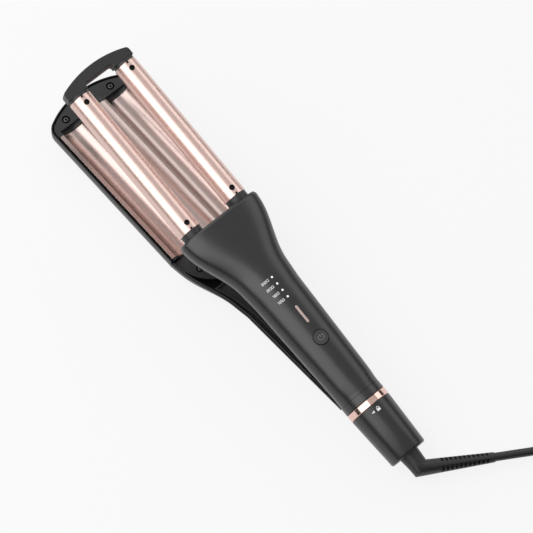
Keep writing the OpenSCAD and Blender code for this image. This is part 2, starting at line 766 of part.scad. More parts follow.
module plate_frame() {
  color(satin_black) in_lower() difference() {
    skin(concat(
      [for (i = [frame_levels : -1 : 0]) frame_level(i)],
      [at_z(rim_z, frame_plan(0))]
    ), flip = true);
    translate([0, 0, frame_side_z - 0.5]) linear_extrude(20)
      polygon(frame_plan(frame_wall, frame_x0 - 1));
    translate([0, 0, -pocket_deep]) linear_extrude(20)
      polygon(frame_plan(pocket_inset, frame_x0 - 1));
    z_bar(screw_r + screw_fit, -arm_depth + 2, frame_side_z, tip_screw_x, barrel_y);
    z_bar(screw_r + screw_fit, -arm_depth + 2, frame_side_z, tip_screw_x, -barrel_y);
  }
}
valley_r = barrel_r + hair_gap;
lip_half_w = frame_half_w - 2.4;
lip_in_y = barrel_y + sqrt(valley_r * valley_r - pow(barrel_z - rim_z, 2));
ridge_half_w = barrel_y - valley_r;
plate_back = 1.5;
plate_foot_gap = 1.2;
plate_z0 = barrel_z - valley_r - plate_back;
valley_steps = 16;
ridge_steps = 12;
// Right half of the plate's section, from the middle of the ridge outwards, as [y, z].
function plate_half() = concat(
  [for (i = [0 : ridge_steps]) let (a = 90 - 90 * i / ridge_steps)
    [ridge_half_w * cos(a), barrel_z + ridge_rise * sin(a)]],
  [for (i = [1 : valley_steps]) let (
    a = 180 + i * (360 - 180 - asin((barrel_z - rim_z) / valley_r)) / valley_steps
  ) [barrel_y + valley_r * cos(a), barrel_z + valley_r * sin(a)]],
  [[lip_half_w, rim_z], [lip_half_w, rim_z - 2], [pocket_half_w - plate_foot_gap, plate_z0]]
);
heater_slot_half = 6;
heater_slot_top = barrel_z - 1;
plate_x0 = barrel_x0 - 1.7;
plate_x1 = barrel_x1 - 0.3;
module wave_plate() {
  half = plate_half();
  color(rose_gold) in_lower() translate([plate_x0, 0, 0]) rotate([90, 0, 90])
    linear_extrude(plate_x1 - plate_x0) difference() {
      polygon(concat(half, [for (i = [len(half) - 1 : -1 : 1]) [-half[i][0], half[i][1]]]));
      translate([-heater_slot_half, plate_z0 - 1])
        square([2 * heater_slot_half, heater_slot_top - plate_z0 + 1]);
    }
}
tip_screw_in = 8;
tip_screw_x = barrel_x1 + tip_screw_in;
rear_screw_in = 13;
rear_screw_x = head_x - rear_screw_in;
rear_screw_y = 20.6;
insulator_top = rim_z - 0.5;
insulator_x = plate_x1 + part_gap;
recess_x = barrel_x1 + 3.2;
ring_recess_r = 2.8;
ring_recess_t = 0.8;
module front_insulator() {
  hump_x = recess_x + 0.3;
  color(matt_black) in_lower() difference() {
    union() {
      translate([0, 0, frame_side_z - 0.4]) linear_extrude(insulator_top - frame_side_z + 0.4)
        from_x(insulator_x) polygon(frame_plan(frame_wall + groove_w, insulator_x - plan_back));
      translate([insulator_x, 0, 0]) rotate([90, 0, 90]) linear_extrude(hump_x - insulator_x)
        polygon(concat([[ridge_half_w - 0.3, -1]], [
          for (i = [0 : ridge_steps]) let (a = 180 * i / ridge_steps)
            [(ridge_half_w - 0.3) * cos(a), barrel_z + (ridge_rise - 0.3) * sin(a)]
        ], [[0.3 - ridge_half_w, -1]]));
    }
    both_sides() x_bar(valley_r, insulator_x - 1, recess_x, 0, barrel_z);
    both_sides() z_bar(screw_r + screw_fit, -arm_depth, barrel_z, tip_screw_x);
    both_sides() z_bar(ring_recess_r, insulator_top - ring_recess_t, barrel_z, tip_screw_x);
  }
}
insulator_drop = 2.8;
insulator_rear_z = parting_z(head_x) - insulator_drop;
insulator_arc_r = 32;
insulator_t = 1.6;
step_x0 = arm_x1 + 0.5;
step_x1 = plate_x0 - part_gap;
module rear_insulator() {
  inset = shell_wall + groove_w;
  function half_w(x) = min(
    arm_y(x, insulator_rear_z - insulator_t, inset),
    sqrt(max(pow(insulator_arc_r, 2) - pow(insulator_x0 + insulator_arc_r - x, 2), 1))
  );
  color(matt_black) in_lower() difference() {
    union() {
      translate([0, 0, insulator_rear_z - insulator_t]) linear_extrude(insulator_t)
        polygon(mirrored([
          for (i = [0 : 14]) let (x = insulator_x0 + i * (arm_x1 - insulator_x0) / 14)
            [x, -half_w(x)]
        ]));
      box(arm_x1 - 1, step_x0 + 1, part_gap - pocket_half_w, pocket_half_w - part_gap,
        insulator_rear_z - insulator_t, insulator_rear_z);
      box(step_x0, step_x1, -lip_half_w, lip_half_w, frame_side_z, insulator_top);
    }
    both_sides() x_bar(valley_r, step_x0 - 1, step_x1 + 1, 0, barrel_z);
    for (s = sides) translate([0, s * rear_screw_y, 0]) {
      z_bar(screw_r + screw_fit, -arm_depth, barrel_z, rear_screw_x);
      z_bar(ring_recess_r, insulator_rear_z - ring_recess_t, barrel_z, rear_screw_x);
    }
  }
}
insulator_screw_len = 7;
rear_screw_end = arm_z(rear_screw_x, rear_screw_y + screw_r, shell_wall) + part_gap;
module insulator_screw(x, y, top, end) {
  z_bar(screw_r, end, top, x, y);
  z_bar(screw_head_r, top - ring_recess_t + seam / 2, top, x, y);
}
module insulator_screws() {
  color(deep_black) in_lower() for (s = sides) {
    insulator_screw(tip_screw_x, s * barrel_y, insulator_top,
      insulator_top - insulator_screw_len);
    insulator_screw(rear_screw_x, s * rear_screw_y, insulator_rear_z,
      max(rear_screw_end, insulator_rear_z - insulator_screw_len));
  }
}
heater_inset = 9;
heater_t = 2.2;
heater_y0 = 12;
heater_y1 = 24;
press_z1 = plate_z0 - heater_t - 2 * seam;
press_t = 1;
module plate_heaters() {
  color(ceramic_white) in_lower() for (s = sides)
    box(barrel_x0 + heater_inset, barrel_x1 - heater_inset, min(s * heater_y0, s * heater_y1),
      max(s * heater_y0, s * heater_y1), plate_z0 - seam - heater_t, plate_z0 - seam);
}
module heater_press_plate() {
  color(bare_steel) in_lower()
    box(barrel_x0 + 5, barrel_x1 - 5, -heater_y1, heater_y1, press_z1 - press_t, press_z1);
}
module mica_sheet() {
  color(bare_brass) in_lower()
    box(barrel_x0 + 5, barrel_x1 - 5, -heater_y1, heater_y1,
      press_z1 - press_t - 0.6, press_z1 - press_t - seam);
}
fuse_r = 1.6;
fuse_len = 16;
module thermal_fuse() {
  mid = (barrel_x0 + barrel_x1) / 2;
  color(bare_steel) in_lower()
    x_bar(fuse_r, mid - fuse_len / 2, mid + fuse_len / 2, 0, press_z1 + fuse_r + seam);
}
wire_rise = 2;
module plate_wires() {
  wire_z = -arm_depth + shell_wall + wire_rise;
  color(lamp_white) in_lower() for (s = sides)
    rod([bracket_x1 + 2, s * 3, wire_z], [barrel_x0 + 4, s * 3, wire_z], wire_r + 0.1);
}
foot_turn = rest_pitch - arm_open;
module rest_foot() {
  color(deep_black) in_lower() difference() {
    translate([foot_x, 0, -arm_depth - foot_h]) rotate([0, foot_turn, 0])
      cylinder(r = foot_r, h = foot_h + 2, $fn = round_fn);
    box(foot_x - 20, foot_x + 20, -20, 20, -arm_depth - seam / 2, 0);
  }
}

// ---- Cord swivel ----
stem_r = 7.5;
stem_end_r = 6.5;
boot_r = 5.9;
boot_end_r = 3.5;
elbow_x = sleeve_x0 - 13.1;
boot_turn = 60;
hub_disc_r = tube_bore - turn_fit;
hub_nose_r = 4;
hub_disc_x0 = tube_x0 + gate_len + seam;
hub_disc_x1 = hub_disc_x0 + 4;
nose_x1 = hub_disc_x1 + 10;
module swivel_hub() {
  color(matt_black) in_handle() {
    x_bar(hub_shaft_r, hub_x0, hub_disc_x0 + 1);
    x_bar(hub_disc_r, hub_disc_x0, hub_disc_x1);
    x_bar(hub_nose_r, hub_disc_x1 - 1, nose_x1);
  }
}
slip_r = 5;
slip_xs = [hub_disc_x1 + 2, hub_disc_x1 + 6];
slip_w = 1.6;
module slip_rings() {
  color(bare_brass) in_handle() for (x = slip_xs)
    x_tube(slip_r, hub_nose_r + seam / 4, x, x + slip_w);
}
carrier_x0 = nose_x1 + 1;
module contact_brushes() {
  color(bare_brass) in_handle() {
    difference() {
      x_bar(tube_bore - seam / 2, carrier_x0, carrier_x0 + 2.5);
      x_bar(3, carrier_x0 - 1, carrier_x0 + 4);
    }
    for (i = [0, 1]) rotate([90 + 180 * i, 0, 0])
      box(slip_xs[i], carrier_x0 + 1, -1, 1, slip_r + part_gap, slip_r + part_gap + 0.6);
  }
}
slot_count = 11;
slot_first = 13.8;
slot_pitch = 3.18;
slot_len = 1.8;
slot_deep = 1.2;
slot_half_w = 2;
function boot_radius(s) = boot_r + (boot_end_r - boot_r) * s / boot_len;
// The boot lies along the Z axis inside this module, from the elbow outwards.
module boot() {
  difference() {
    translate([0, 0, -stem_r])
      cylinder(r1 = boot_radius(-stem_r), r2 = boot_end_r, h = boot_len + stem_r, $fn = round_fn);
    for (a = [45 : 90 : 315]) for (i = [0 : slot_count - 1]) {
      s = slot_first + i * slot_pitch;
      rotate([0, 0, a]) translate([boot_radius(s) - slot_deep, -slot_half_w, s])
        cube([slot_deep + 1, 2 * slot_half_w, slot_len]);
    }
  }
}
// All that lies on the cord's side of the mitre between stem and boot.
module beyond_mitre() {
  size = 2 * boot_len;
  translate([elbow_x, 0, 0]) rotate([0, 0, boot_turn / 2])
    translate([-size, -size, -size]) cube([size, 2 * size, 2 * size]);
}
module strain_relief() {
  stem_x1 = tube_x0 - part_gap / 2;
  stem_x0 = elbow_x - stem_end_r;
  color(deep_black) in_handle() difference() {
    union() {
      difference() {
        translate([stem_x0, 0, 0]) rotate([0, 90, 0])
          cylinder(r1 = stem_end_r, r2 = stem_r, h = sleeve_x0 - stem_x0, $fn = round_fn);
        beyond_mitre();
      }
      x_bar(stem_r, sleeve_x0, stem_x1);
      intersection() {
        translate([elbow_x, 0, 0]) rotate([0, -90, boot_turn]) boot();
        beyond_mitre();
      }
    }
    x_bar(hub_shaft_r + seam / 2, hub_x0 - seam, stem_x1 + 1);
  }
}

// Where the lead lies, in the part's own frame: out of the boot, down and over to the coil.
coil_mid = [-307.5, -69.1];
coil_in_r = 21;
coil_out_r = 49;
coil_z0 = 0.6;
coil_h = 12;
tie_t = 0.5;
tie_slack = 0.7;
tie_half_w = 5;
lead_route = [
  [-209.15, -45.5, 7.3], [-212.1, -50.7, 6.8], [-215.9, -57.6, 6], [-220.8, -66.3, 5],
  [-225.6, -75, 4.15], [-229.9, -81.6, 3.6], [-235.1, -87.5, 3.25], [-240.9, -92.7, 3],
  [-247.4, -97.1, 3], [-254.5, -100.6, 3.05], [-261.9, -103.2, 3.15], [-278.2, -107.7, 3.3]
];
tail_route = [
  [-354.3, -53.1, 9.4], [-355.3, -48.6, 8.6], [-356.3, -44.6, 7.7], [-357, -40.6, 7.1]
];
tube_sides = 10;
function unit(v) = v / norm(v);
function route_dir(p, i) = unit(p[min(i + 1, len(p) - 1)] - p[max(i - 1, 0)]);
function route_ring(p, i, r) = let (
  d = route_dir(p, i),
  side = unit(cross(d, [0, 0, 1])),
  up = cross(side, d)
) [for (k = [0 : tube_sides - 1]) let (a = 360 * k / tube_sides)
  p[i] + r * (cos(a) * side + sin(a) * up)];
module lead_tube(route) {
  skin([for (i = [0 : len(route) - 1]) route_ring(route, i, cord_d / 2)]);
}
module cord_lead() {
  color(deep_black) {
    lead_tube(lead_route);
    lead_tube(tail_route);
  }
}
module cord_coil() {
  color(deep_black) translate([coil_mid[0], coil_mid[1], coil_z0]) rotate_extrude($fn = round_fn)
    translate([coil_in_r, 0]) square([coil_out_r - coil_in_r, coil_h]);
}
module cord_tie() {
  color(matt_black) translate([coil_mid[0], coil_mid[1], 0]) rotate([0, 0, 60])
    difference() {
      box(coil_in_r - tie_t - tie_slack, coil_out_r + tie_t + seam, -tie_half_w, tie_half_w,
        0, coil_z0 + coil_h + seam + tie_t);
      box(coil_in_r - tie_slack, coil_out_r + seam, -tie_half_w - 1, tie_half_w + 1,
        tie_t, coil_z0 + coil_h + seam);
    }
}
// Flat two-pin plug, lying on its side beside the coil.
plug_at = [-357, -40.6, 7];
plug_len = 36;
plug_half_t = 7;
plug_half_w = 13;
plug_neck_len = 10;
plug_neck_r = 4.5;
pin_gap_half = 9;
plug_pin_r = 2;
plug_pin_len = 19;
module plug_body() {
  color(deep_black) translate(plug_at) rotate([0, 0, 90]) {
    x_bar(plug_neck_r, 0, plug_neck_len + 1);
    translate([0, 0, -plug_half_t]) linear_extrude(2 * plug_half_t) polygon([
      [plug_neck_len, -plug_neck_r],
      [plug_len - 8, -plug_half_w],
      [plug_len, -plug_half_w],
      [plug_len, plug_half_w],
      [plug_len - 8, plug_half_w],
      [plug_neck_len, plug_neck_r]
    ]);
  }
}
module plug_pins() {
  color(bare_steel) translate(plug_at) rotate([0, 0, 90]) for (s = sides)
    x_bar(plug_pin_r, plug_len + seam / 2, plug_len + plug_pin_len, s * pin_gap_half);
}

upper_shell();
upper_inner_cover();
hinge_housing();
trim_ring();
barrel_holder();
barrel_left();
barrel_right();
barrel_collars();
tip_plugs();
tip_bridge();
barrel_screws();
heater_clamps();
barrel_heaters();
barrel_wires();
control_board();
board_components();
tact_switch();
indicator_leds();
light_pipes();
indicator_bar();
shell_screws();
hinge_pin();
hinge_spring();
detent_ball();
contact_brushes();
lower_shell();
lower_inner_cover();
arm_bracket();
plate_frame();
wave_plate();
front_insulator();
rear_insulator();
insulator_screws();
plate_heaters();
heater_press_plate();
mica_sheet();
thermal_fuse();
plate_wires();
rest_foot();
lock_sleeve();
power_button();
swivel_hub();
slip_rings();
strain_relief();
cord_lead();
cord_coil();
cord_tie();
plug_body();
plug_pins();
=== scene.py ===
import json
import math

import bmesh
import bpy
import numpy as np
from mathutils import Matrix, Vector


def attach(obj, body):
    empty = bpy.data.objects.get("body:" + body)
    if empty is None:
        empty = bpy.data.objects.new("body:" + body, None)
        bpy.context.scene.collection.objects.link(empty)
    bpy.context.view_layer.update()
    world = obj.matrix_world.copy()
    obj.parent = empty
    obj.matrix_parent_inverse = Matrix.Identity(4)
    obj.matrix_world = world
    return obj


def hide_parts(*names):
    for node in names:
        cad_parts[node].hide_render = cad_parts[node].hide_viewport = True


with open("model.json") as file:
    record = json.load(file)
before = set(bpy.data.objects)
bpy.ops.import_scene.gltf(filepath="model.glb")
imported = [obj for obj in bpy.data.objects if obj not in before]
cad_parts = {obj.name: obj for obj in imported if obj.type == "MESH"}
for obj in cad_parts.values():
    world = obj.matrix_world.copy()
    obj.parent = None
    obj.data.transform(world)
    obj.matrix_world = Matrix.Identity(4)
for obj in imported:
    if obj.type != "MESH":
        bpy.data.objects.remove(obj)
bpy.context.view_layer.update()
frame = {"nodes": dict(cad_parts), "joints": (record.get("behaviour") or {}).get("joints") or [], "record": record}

nodes = frame["nodes"]
joints = {joint["name"]: joint for joint in frame["joints"]}

# ---- Measures of the waver, in millimetres, in the handle's own frame ----
# X points towards the tip, Z up, and the tail's axis runs along y = 0, z = 0. Names with X0 and X1
# are the rear and front ends of a part, HALF is half of its width, and HIGH, WIDE and LEN its size.
HINGE = np.array([0.0, 0.0, -7.0])

# Upper shell: neck, grip and flared head
NECK_X, FLARE_X, HEAD_X = -2.6, 87.0, 151.0
NECK_HALF, GRIP_HALF, HEAD_HALF = 16.0, 19.1, 33.5
NECK_TOP, TOP_RISE, TOP_RISE_RUN = 15.6, 3.2, 90.0
SHELL_WALL, BELLY = 2.0, 15.2
PARTING_Z, PARTING_CLIMB, PARTING_GAP = -5.2, 3.6, 0.6

# Turned parts of the tail
TAIL_R, NECK_R, NECK_BORE = 11.0, 15.95, 13.3
RING_X0, RING_X1, RING_R = -13.7, -8.7, 16.15
SLEEVE_FRONT_X, SLEEVE_FRONT_R = -14.2, 15.93
SLEEVE_REAR_X, SLEEVE_REAR_R, SLEEVE_END_X = -52.9, 14.24, -54.5
STEM_X1, STEM_HOLE_R = -51.2, 7.8
ELBOW_X, BOOT_TURN, BOOT_LEN = -67.0, math.radians(60.0), 52.5
BOOT_R, BOOT_TAPER, CORD_R = 5.6, 2.1, 3.0
SLOT_FIRST, SLOT_PITCH, SLOT_LEN, SLOT_DEPTH, SLOTS = 13.8, 3.18, 1.8, 1.7, 11

# Barrels with their collars, screws and bridge
BARREL_X0, BARREL_X1, BARREL_Y, BARREL_Z = 155.6, 274.3, 20.2, 6.0
BARREL_R, BARREL_BORE, BARREL_EDGE, NOTCH_LEN = 8.5, 7.3, 0.25, 1.6
COLLAR_R = 8.0
BARREL_SCREWS = {"rear": 161.3, "tip": 268.5}
BARREL_SCREW_R = 2.0
BRIDGE_X0, BRIDGE_X1, BRIDGE_HALF = 276.35, 288.25, 28.7
BRIDGE_FRONT_R, BRIDGE_CORNER_R = 77.0, 3.0
BRIDGE_BOTTOM, BRIDGE_TOP = 1.5, 11.0
WINDOW_HALF, WINDOW_X1 = 11.7, 279.65

# Button, lamps and printed figures on top of the grip
BUTTON_X, BUTTON_R = 43.5, 5.2
LAMP_X, LAMP_PITCH, LAMP_SIZE = 79.0, 5.6, 1.5
BAR_X, BAR_LEN, BAR_WIDE = 63.7, 14.3, 1.75
FIGURE_HIGH, FIGURE_WIDE, FIGURE_Y = 1.8, 1.7, 3.15

# Lower arm: shell, frame round the plate, wave plate and the insulators' screws
ARM_X0, ARM_FLARE_X, ARM_FLARE_END, ARM_X1 = -2.3, 88.9, 150.5, 152.0
ARM_REAR_HALF, ARM_GRIP_HALF, ARM_DEPTH = 17.1, 20.7, 15.0
FRAME_X0, TIP_X, FRAME_HALF = 152.3, 293.4, 34.8
FRAME_FRONT_R, FRAME_CORNER_R = 62.0, 9.5
RIM_Z, FRAME_SIDE_Z, FRAME_CURL = 1.0, -5.0, 9.0
RIM_WALL, SHELF, SHELF_Z, POCKET_Z = 1.05, 8.5, -5.5, -13.0
INSULATOR_X0, INSULATOR_Z = 275.5, 0.5
PLATE_X0, PLATE_X1, PLATE_HALF, PLATE_BACK_Z = 153.9, 274.0, 32.4, -6.0
VALLEY_R, RIDGE_HIGH = 10.5, 4.0
INSULATOR_SCREWS = (("tip", 282.3, BARREL_Y, INSULATOR_Z), ("rear", 138.0, 20.6, -4.4))
INSULATOR_SCREW_R = 1.65


def tilt(p, angle):
    """Turns points about the Y axis, from Z towards X by the angle."""
    c, s = math.cos(angle), math.sin(angle)
    p = np.asarray(p, float)
    return np.stack([c * p[..., 0] + s * p[..., 2], p[..., 1], c * p[..., 2] - s * p[..., 0]], -1)


# The joints say how the waver lies: how far its nose points up, where its hinge is, and how far
# the lower arm hangs open.
tail_axis = joints["lock_twist"]["axis"]
PITCH = math.atan2(tail_axis[2], tail_axis[0])
SHIFT = 1000 * np.array(joints["arm_hinge"]["pos_m"]) - tilt(HINGE, -PITCH)
ARM_OPEN = math.radians(joints["arm_hinge"]["range_deg"][1])


def in_handle(p):
    """Handle frame to the frame at rest: pitched nose up, then moved onto the table."""
    return tilt(p, -PITCH) + SHIFT


def in_lower(p):
    """The lower arm hangs open: its points turn about the hinge's axis first."""
    return in_handle(tilt(np.asarray(p, float) - HINGE, ARM_OPEN) + HINGE)


def as_laid(p):
    """Points that are given in the frame at rest stay where they are."""
    return p


# ---- Camera ----
EYE = np.array([-121.09, 710.16, 2392.18])
AIM = np.array([105.548, -7.446, 0.0])
CAMERA_ROLL = math.radians(-129.799)
FOCAL_PIXELS, VIEW_PIXELS, SENSOR_MM = 3678.0, 533.0, 36.0


def aim_camera():
    """Long lens high above the left side. The view's right is the handle's X axis, as seen from the
    eye, turned by the roll. The axes are then pitched with the handle."""
    back = (EYE - AIM) / np.linalg.norm(EYE - AIM)
    along = np.array([1.0, 0.0, 0.0]) - back[0] * back
    along /= np.linalg.norm(along)
    across = np.cross(back, along)
    right = math.cos(CAMERA_ROLL) * along + math.sin(CAMERA_ROLL) * across
    axes = tilt([right, np.cross(back, right), back], -PITCH)
    data = bpy.data.cameras.new("camera")
    data.sensor_width = SENSOR_MM
    data.lens = FOCAL_PIXELS * SENSOR_MM / VIEW_PIXELS
    data.clip_end = 50
    camera = bpy.data.objects.new("camera", data)
    bpy.context.scene.collection.objects.link(camera)
    turn = Matrix(axes.T.tolist()).to_4x4()
    camera.matrix_world = Matrix.Translation(Vector(in_handle(EYE) / 1000)) @ turn
    bpy.context.scene.camera = camera


aim_camera()


# ---- Shader maths ----
class Socket:
    """One output socket. Arithmetic on it adds Math nodes to the same tree."""

    def __init__(self, graph, output):
        self.graph, self.output = graph, output

    def math(self, operation, first, second):
        return self.graph.node("ShaderNodeMath", {"operation": operation}, {0: first, 1: second})

    def __add__(self, other):
        return self.math("ADD", self, other)

    def __sub__(self, other):
        return self.math("SUBTRACT", self, other)

    def __rsub__(self, other):
        return self.math("SUBTRACT", other, self)

    def __mul__(self, other):
        return self.math("MULTIPLY", self, other)

    __radd__, __rmul__ = __add__, __mul__

    def or_larger(self, other):
        """The larger of two values."""
        return self.math("MAXIMUM", self, other)

    def beside(self, name):
        """Another output of the same node."""
        return Socket(self.graph, self.output.node.outputs[name])


class Graph:
    """A material's nodes. Every node comes from one method."""

    def __init__(self, name):
        self.material = bpy.data.materials.new(name)
        self.material.use_nodes = True
        self.tree = self.material.node_tree

    def node(self, kind, settings, sockets, out=0):
        """Adds a node: its settings first, then a value or a link for each input socket."""
        made = self.tree.nodes.new(kind)
        for key, value in settings.items():
            setattr(made, key, value)
        for key, value in sockets.items():
            self.put(made.inputs[key], value)
        return Socket(self, made.outputs[out])

    def put(self, entry, value):
        """Links a socket to an input, or sets the input's own value."""
        if isinstance(value, Socket):
            self.tree.links.new(value.output, entry)
        else:
            entry.default_value = value


class Shader(Graph):
    """A material with one Principled shader, and helpers that add the nodes before it."""

    def __init__(self, name, colour, roughness, metallic=0.0, shine=0.5):
        super().__init__(name)
        self.place = self.node("ShaderNodeTexCoord", {}, {}, "Object")
        self.feed("Base Color", (*colour, 1.0))
        self.feed("Roughness", roughness)
        self.feed("Metallic", metallic)
        self.feed("Specular IOR Level", shine)

    def feed(self, name, value):
        """Puts a value or a link into the Principled shader."""
        self.put(self.tree.nodes["Principled BSDF"].inputs[name], value)

    def noise(self, size_mm, detail=1.0, stretch=(1, 1, 1)):
        """Noise of about the given grain size, longer along an axis whose stretch is below 1."""
        place = self.node("ShaderNodeMapping", {}, {"Vector": self.place, "Scale": stretch})
        return self.node("ShaderNodeTexNoise", {},
                         {"Vector": place, "Scale": 1000 / size_mm, "Detail": detail})

    def blend(self, factor, first, second):
        """Colour that goes from the first to the second as the factor goes from 0 to 1."""
        return self.node("ShaderNodeMix", {"data_type": "RGBA"},
                         {0: factor, 6: (*first, 1.0), 7: (*second, 1.0)}, 2)

    def relief(self, height, strength, depth_mm):
        """Turns a height into small bumps of the surface."""
        self.feed("Normal", self.node("ShaderNodeBump", {}, {
            "Strength": strength, "Distance": depth_mm / 1000, "Height": height}))


def shade(colour, factor, lift=0.0):
    """The colour made darker or lighter by a factor and a small lift, kept below white."""
    return tuple(min(1.0, c * factor + lift) for c in colour)


# ---- Finishes ----
def moulded(name, colour, roughness, grain_mm=0.35, shine=0.5):
    """Moulded plastic: a fine spark-eroded grain, and slow change of sheen and shade."""
    shader = Shader(name, colour, roughness, shine=shine)
    slow = shader.noise(14, detail=2)
    fine = shader.noise(grain_mm)
    shader.feed("Roughness", (slow - 0.5) * 0.06 + (fine - 0.5) * 0.06 + roughness)
    shader.feed("Base Color", shader.blend(slow, colour, shade(colour, 1.18, 0.002)))
    shader.relief(fine, 0.35, 0.004)
    return shader.material


def plated(name, colour, roughness, streak=(0.03, 1, 1)):
    """Plated metal: faint polishing streaks that run along the arm."""
    shader = Shader(name, colour, roughness, metallic=1.0)
    line = shader.noise(0.5, detail=3, stretch=streak)
    slow = shader.noise(25)
    shader.feed("Roughness", (line - 0.5) * 0.05 + (slow - 0.5) * 0.04 + roughness)
    shader.feed("Base Color", shader.blend(line, colour, shade(colour, 0.96)))
    shader.relief(line, 0.03, 0.00005)
    return shader.material


def glassy(name, colour, glow):
    """Small lamps and lenses: a glossy surface with a soft light of its own."""
    shader = Shader(name, colour, 0.25)
    cloud = shader.noise(0.8)
    shader.feed("Base Color", shader.blend(cloud, colour, shade(colour, 0.93)))
    shader.feed("Emission Color", (*colour, 1.0))
    shader.feed("Emission Strength", glow)
    return shader.material


def rubbery(name, colour, roughness):
    """Soft cable plastic: a fine grain under a dusty bloom."""
    shader = Shader(name, colour, roughness)
    slow = shader.noise(9, detail=3)
    fine = shader.noise(0.5)
    shader.feed("Roughness", (slow - 0.5) * 0.12 + (fine - 0.5) * 0.05 + roughness)
    shader.feed("Base Color", shader.blend(slow, colour, shade(colour, 1.35)))
    shader.relief(fine, 0.3, 0.006)
    return shader.material


SATIN = moulded("satin_shell", (0.007, 0.007, 0.0072), 0.32, shine=0.72)
LOWER_SATIN = moulded("lower_arm_shell", (0.007, 0.007, 0.0072), 0.33, shine=0.4)
BUTTON = moulded("button_cap_plastic", (0.036, 0.036, 0.0365), 0.5)
MATT = moulded("matt_fitting", (0.017, 0.017, 0.0174), 0.42, grain_mm=0.5)
DARK = moulded("dark_interior", (0.010, 0.010, 0.011), 0.6)
# Near black and hardly glossy: painted shade, laid as thin sheets into gaps and recesses where only shade falls.
PAINTED_SHADE = moulded("painted_gap_shade", (0.0015, 0.0015, 0.0015), 0.8, shine=0.05)
# Pale grey: the power symbol's own colour, and a painted highlight for the ring on the button's rim.
MARK_AND_RIM_HIGHLIGHT = moulded("raised_mark_and_rim_highlight", (0.15, 0.15, 0.152), 0.45)
PRINT = moulded("pale_print", (0.88, 0.88, 0.88), 0.6)
BOARD = moulded("board_laminate", (0.02, 0.11, 0.05), 0.45)
CERAMIC = moulded("heater_ceramic", (0.72, 0.68, 0.60), 0.7)
RUBBER = rubbery("cable_rubber", (0.018, 0.018, 0.0185), 0.4)
ROSE = plated("rose_plating", (0.80, 0.59, 0.535), 0.35)
# The barrels' rose gold made darker: painted shade for the plate's valleys, which lie under the barrels.
SHADED_PLATE_ROSE = plated("rose_plate_painted_shade", (0.56, 0.445, 0.415), 0.30)
MIRROR_ROSE = plated("rose_ring_plating", (0.83, 0.57, 0.50), 0.14, streak=(1, 1, 1))
BLACK_STEEL = plated("black_screw", (0.025, 0.025, 0.026), 0.34)
GREY_SCREW = plated("grey_screw", (0.13, 0.13, 0.135), 0.34)
STEEL = plated("plain_steel", (0.58, 0.58, 0.60), 0.3)
BRASS = plated("contact_brass", (0.72, 0.55, 0.24), 0.3)
LENS = glassy("rose_window", (0.54, 0.40, 0.365), 0.05)
LAMP = glassy("lamp_window", (0.92, 0.92, 0.92), 0.35)
FINISH = {
    "satin_black": SATIN, "matt_black": MATT, "deep_black": DARK, "soft_black": RUBBER,
    "rose_gold": ROSE, "rose_lens": LENS, "bare_steel": STEEL, "black_steel": BLACK_STEEL,
    "heat_bar": STEEL, "bare_brass": BRASS, "board_green": BOARD, "ceramic_white": CERAMIC,
    "lamp_white": LAMP,
}
for part in frame["record"]["subparts"]:
    mesh = nodes[part["node"]].data
    mesh.materials.clear()
    mesh.materials.append(FINISH[part["material_slot"]])


# ---- Surfaces ----
def make_piece(name, mesh, body, material, stands_for=()):
    """A named piece that rides on a body, and may stand for nodes of the frame."""
    mesh.materials.append(material)
    piece = bpy.data.objects.new(name, mesh)
    bpy.context.scene.collection.objects.link(piece)
    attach(piece, body)
    if stands_for:
        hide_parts(*stands_for)
    return piece


def soften(piece, width_mm, segments=2):
    """Rounds the piece's crisp edges by a small radius."""
    made = piece.modifiers.new("rounded_edges", "BEVEL")
    made.width = width_mm / 1000
    made.segments = segments
    made.limit_method = "ANGLE"
    made.angle_limit = math.radians(38)
    made.harden_normals = True
    return piece


def mesh_from(points, faces, place, sharp=30.0, outwards=True):
    """Mesh from an array of points in millimetres. Edges sharper than the angle stay crisp."""
    mesh = bpy.data.meshes.new("surface")
    mesh.from_pydata((place(points) / 1000).tolist(), [], faces)
    if outwards:
        shape = bmesh.new()
        shape.from_mesh(mesh)
        bmesh.ops.recalc_face_normals(shape, faces=shape.faces)
        shape.to_mesh(mesh)
        shape.free()
    mesh.shade_smooth()
    mesh.set_sharp_from_angle(angle=math.radians(sharp))
    mesh.update()
    return mesh


def grid_faces(rows, cols, wrap_rows=False, wrap_cols=False):
    """Four-sided faces between neighbours of a grid that is numbered row by row."""
    i = np.arange(rows if wrap_rows else rows - 1)[:, None]
    j = np.arange(cols if wrap_cols else cols - 1)[None, :]
    i2, j2 = (i + 1) % rows, (j + 1) % cols
    corners = [i * cols + j, i * cols + j2, i2 * cols + j2, i2 * cols + j]
    return np.stack([c + np.zeros_like(i + j) for c in corners], -1).reshape(-1, 4).tolist()


def loft(grid, place=in_handle, ends=True, wrap_rows=False, wrap_cols=True, sharp=30.0):
    """Skin through a grid of points. Each row is one section; the two end sections are closed."""
    rows, cols = grid.shape[:2]
    faces = grid_faces(rows, cols, wrap_rows, wrap_cols)
    if ends:
        faces += [list(range(cols))[::-1], list(range((rows - 1) * cols, rows * cols))]
    return mesh_from(grid.reshape(-1, 3), faces, place, sharp, outwards=wrap_cols)


def full_turn(steps):
    """Angles of a whole circle, without its last point, which is the first one."""
    return np.linspace(0, 2 * math.pi, steps, endpoint=False)


def lathe(profile, centre=(0.0, 0.0), steps=96, sharp=30.0):
    """A closed outline of (x, radius) points turned about a line along X through (y, z)."""
    x, r = np.asarray(profile, float).T
    a = full_turn(steps)[:, None]
    grid = np.stack([x + 0 * a, centre[0] + r * np.cos(a), centre[1] + r * np.sin(a)], -1)
    return loft(grid, ends=False, wrap_rows=True, sharp=sharp)


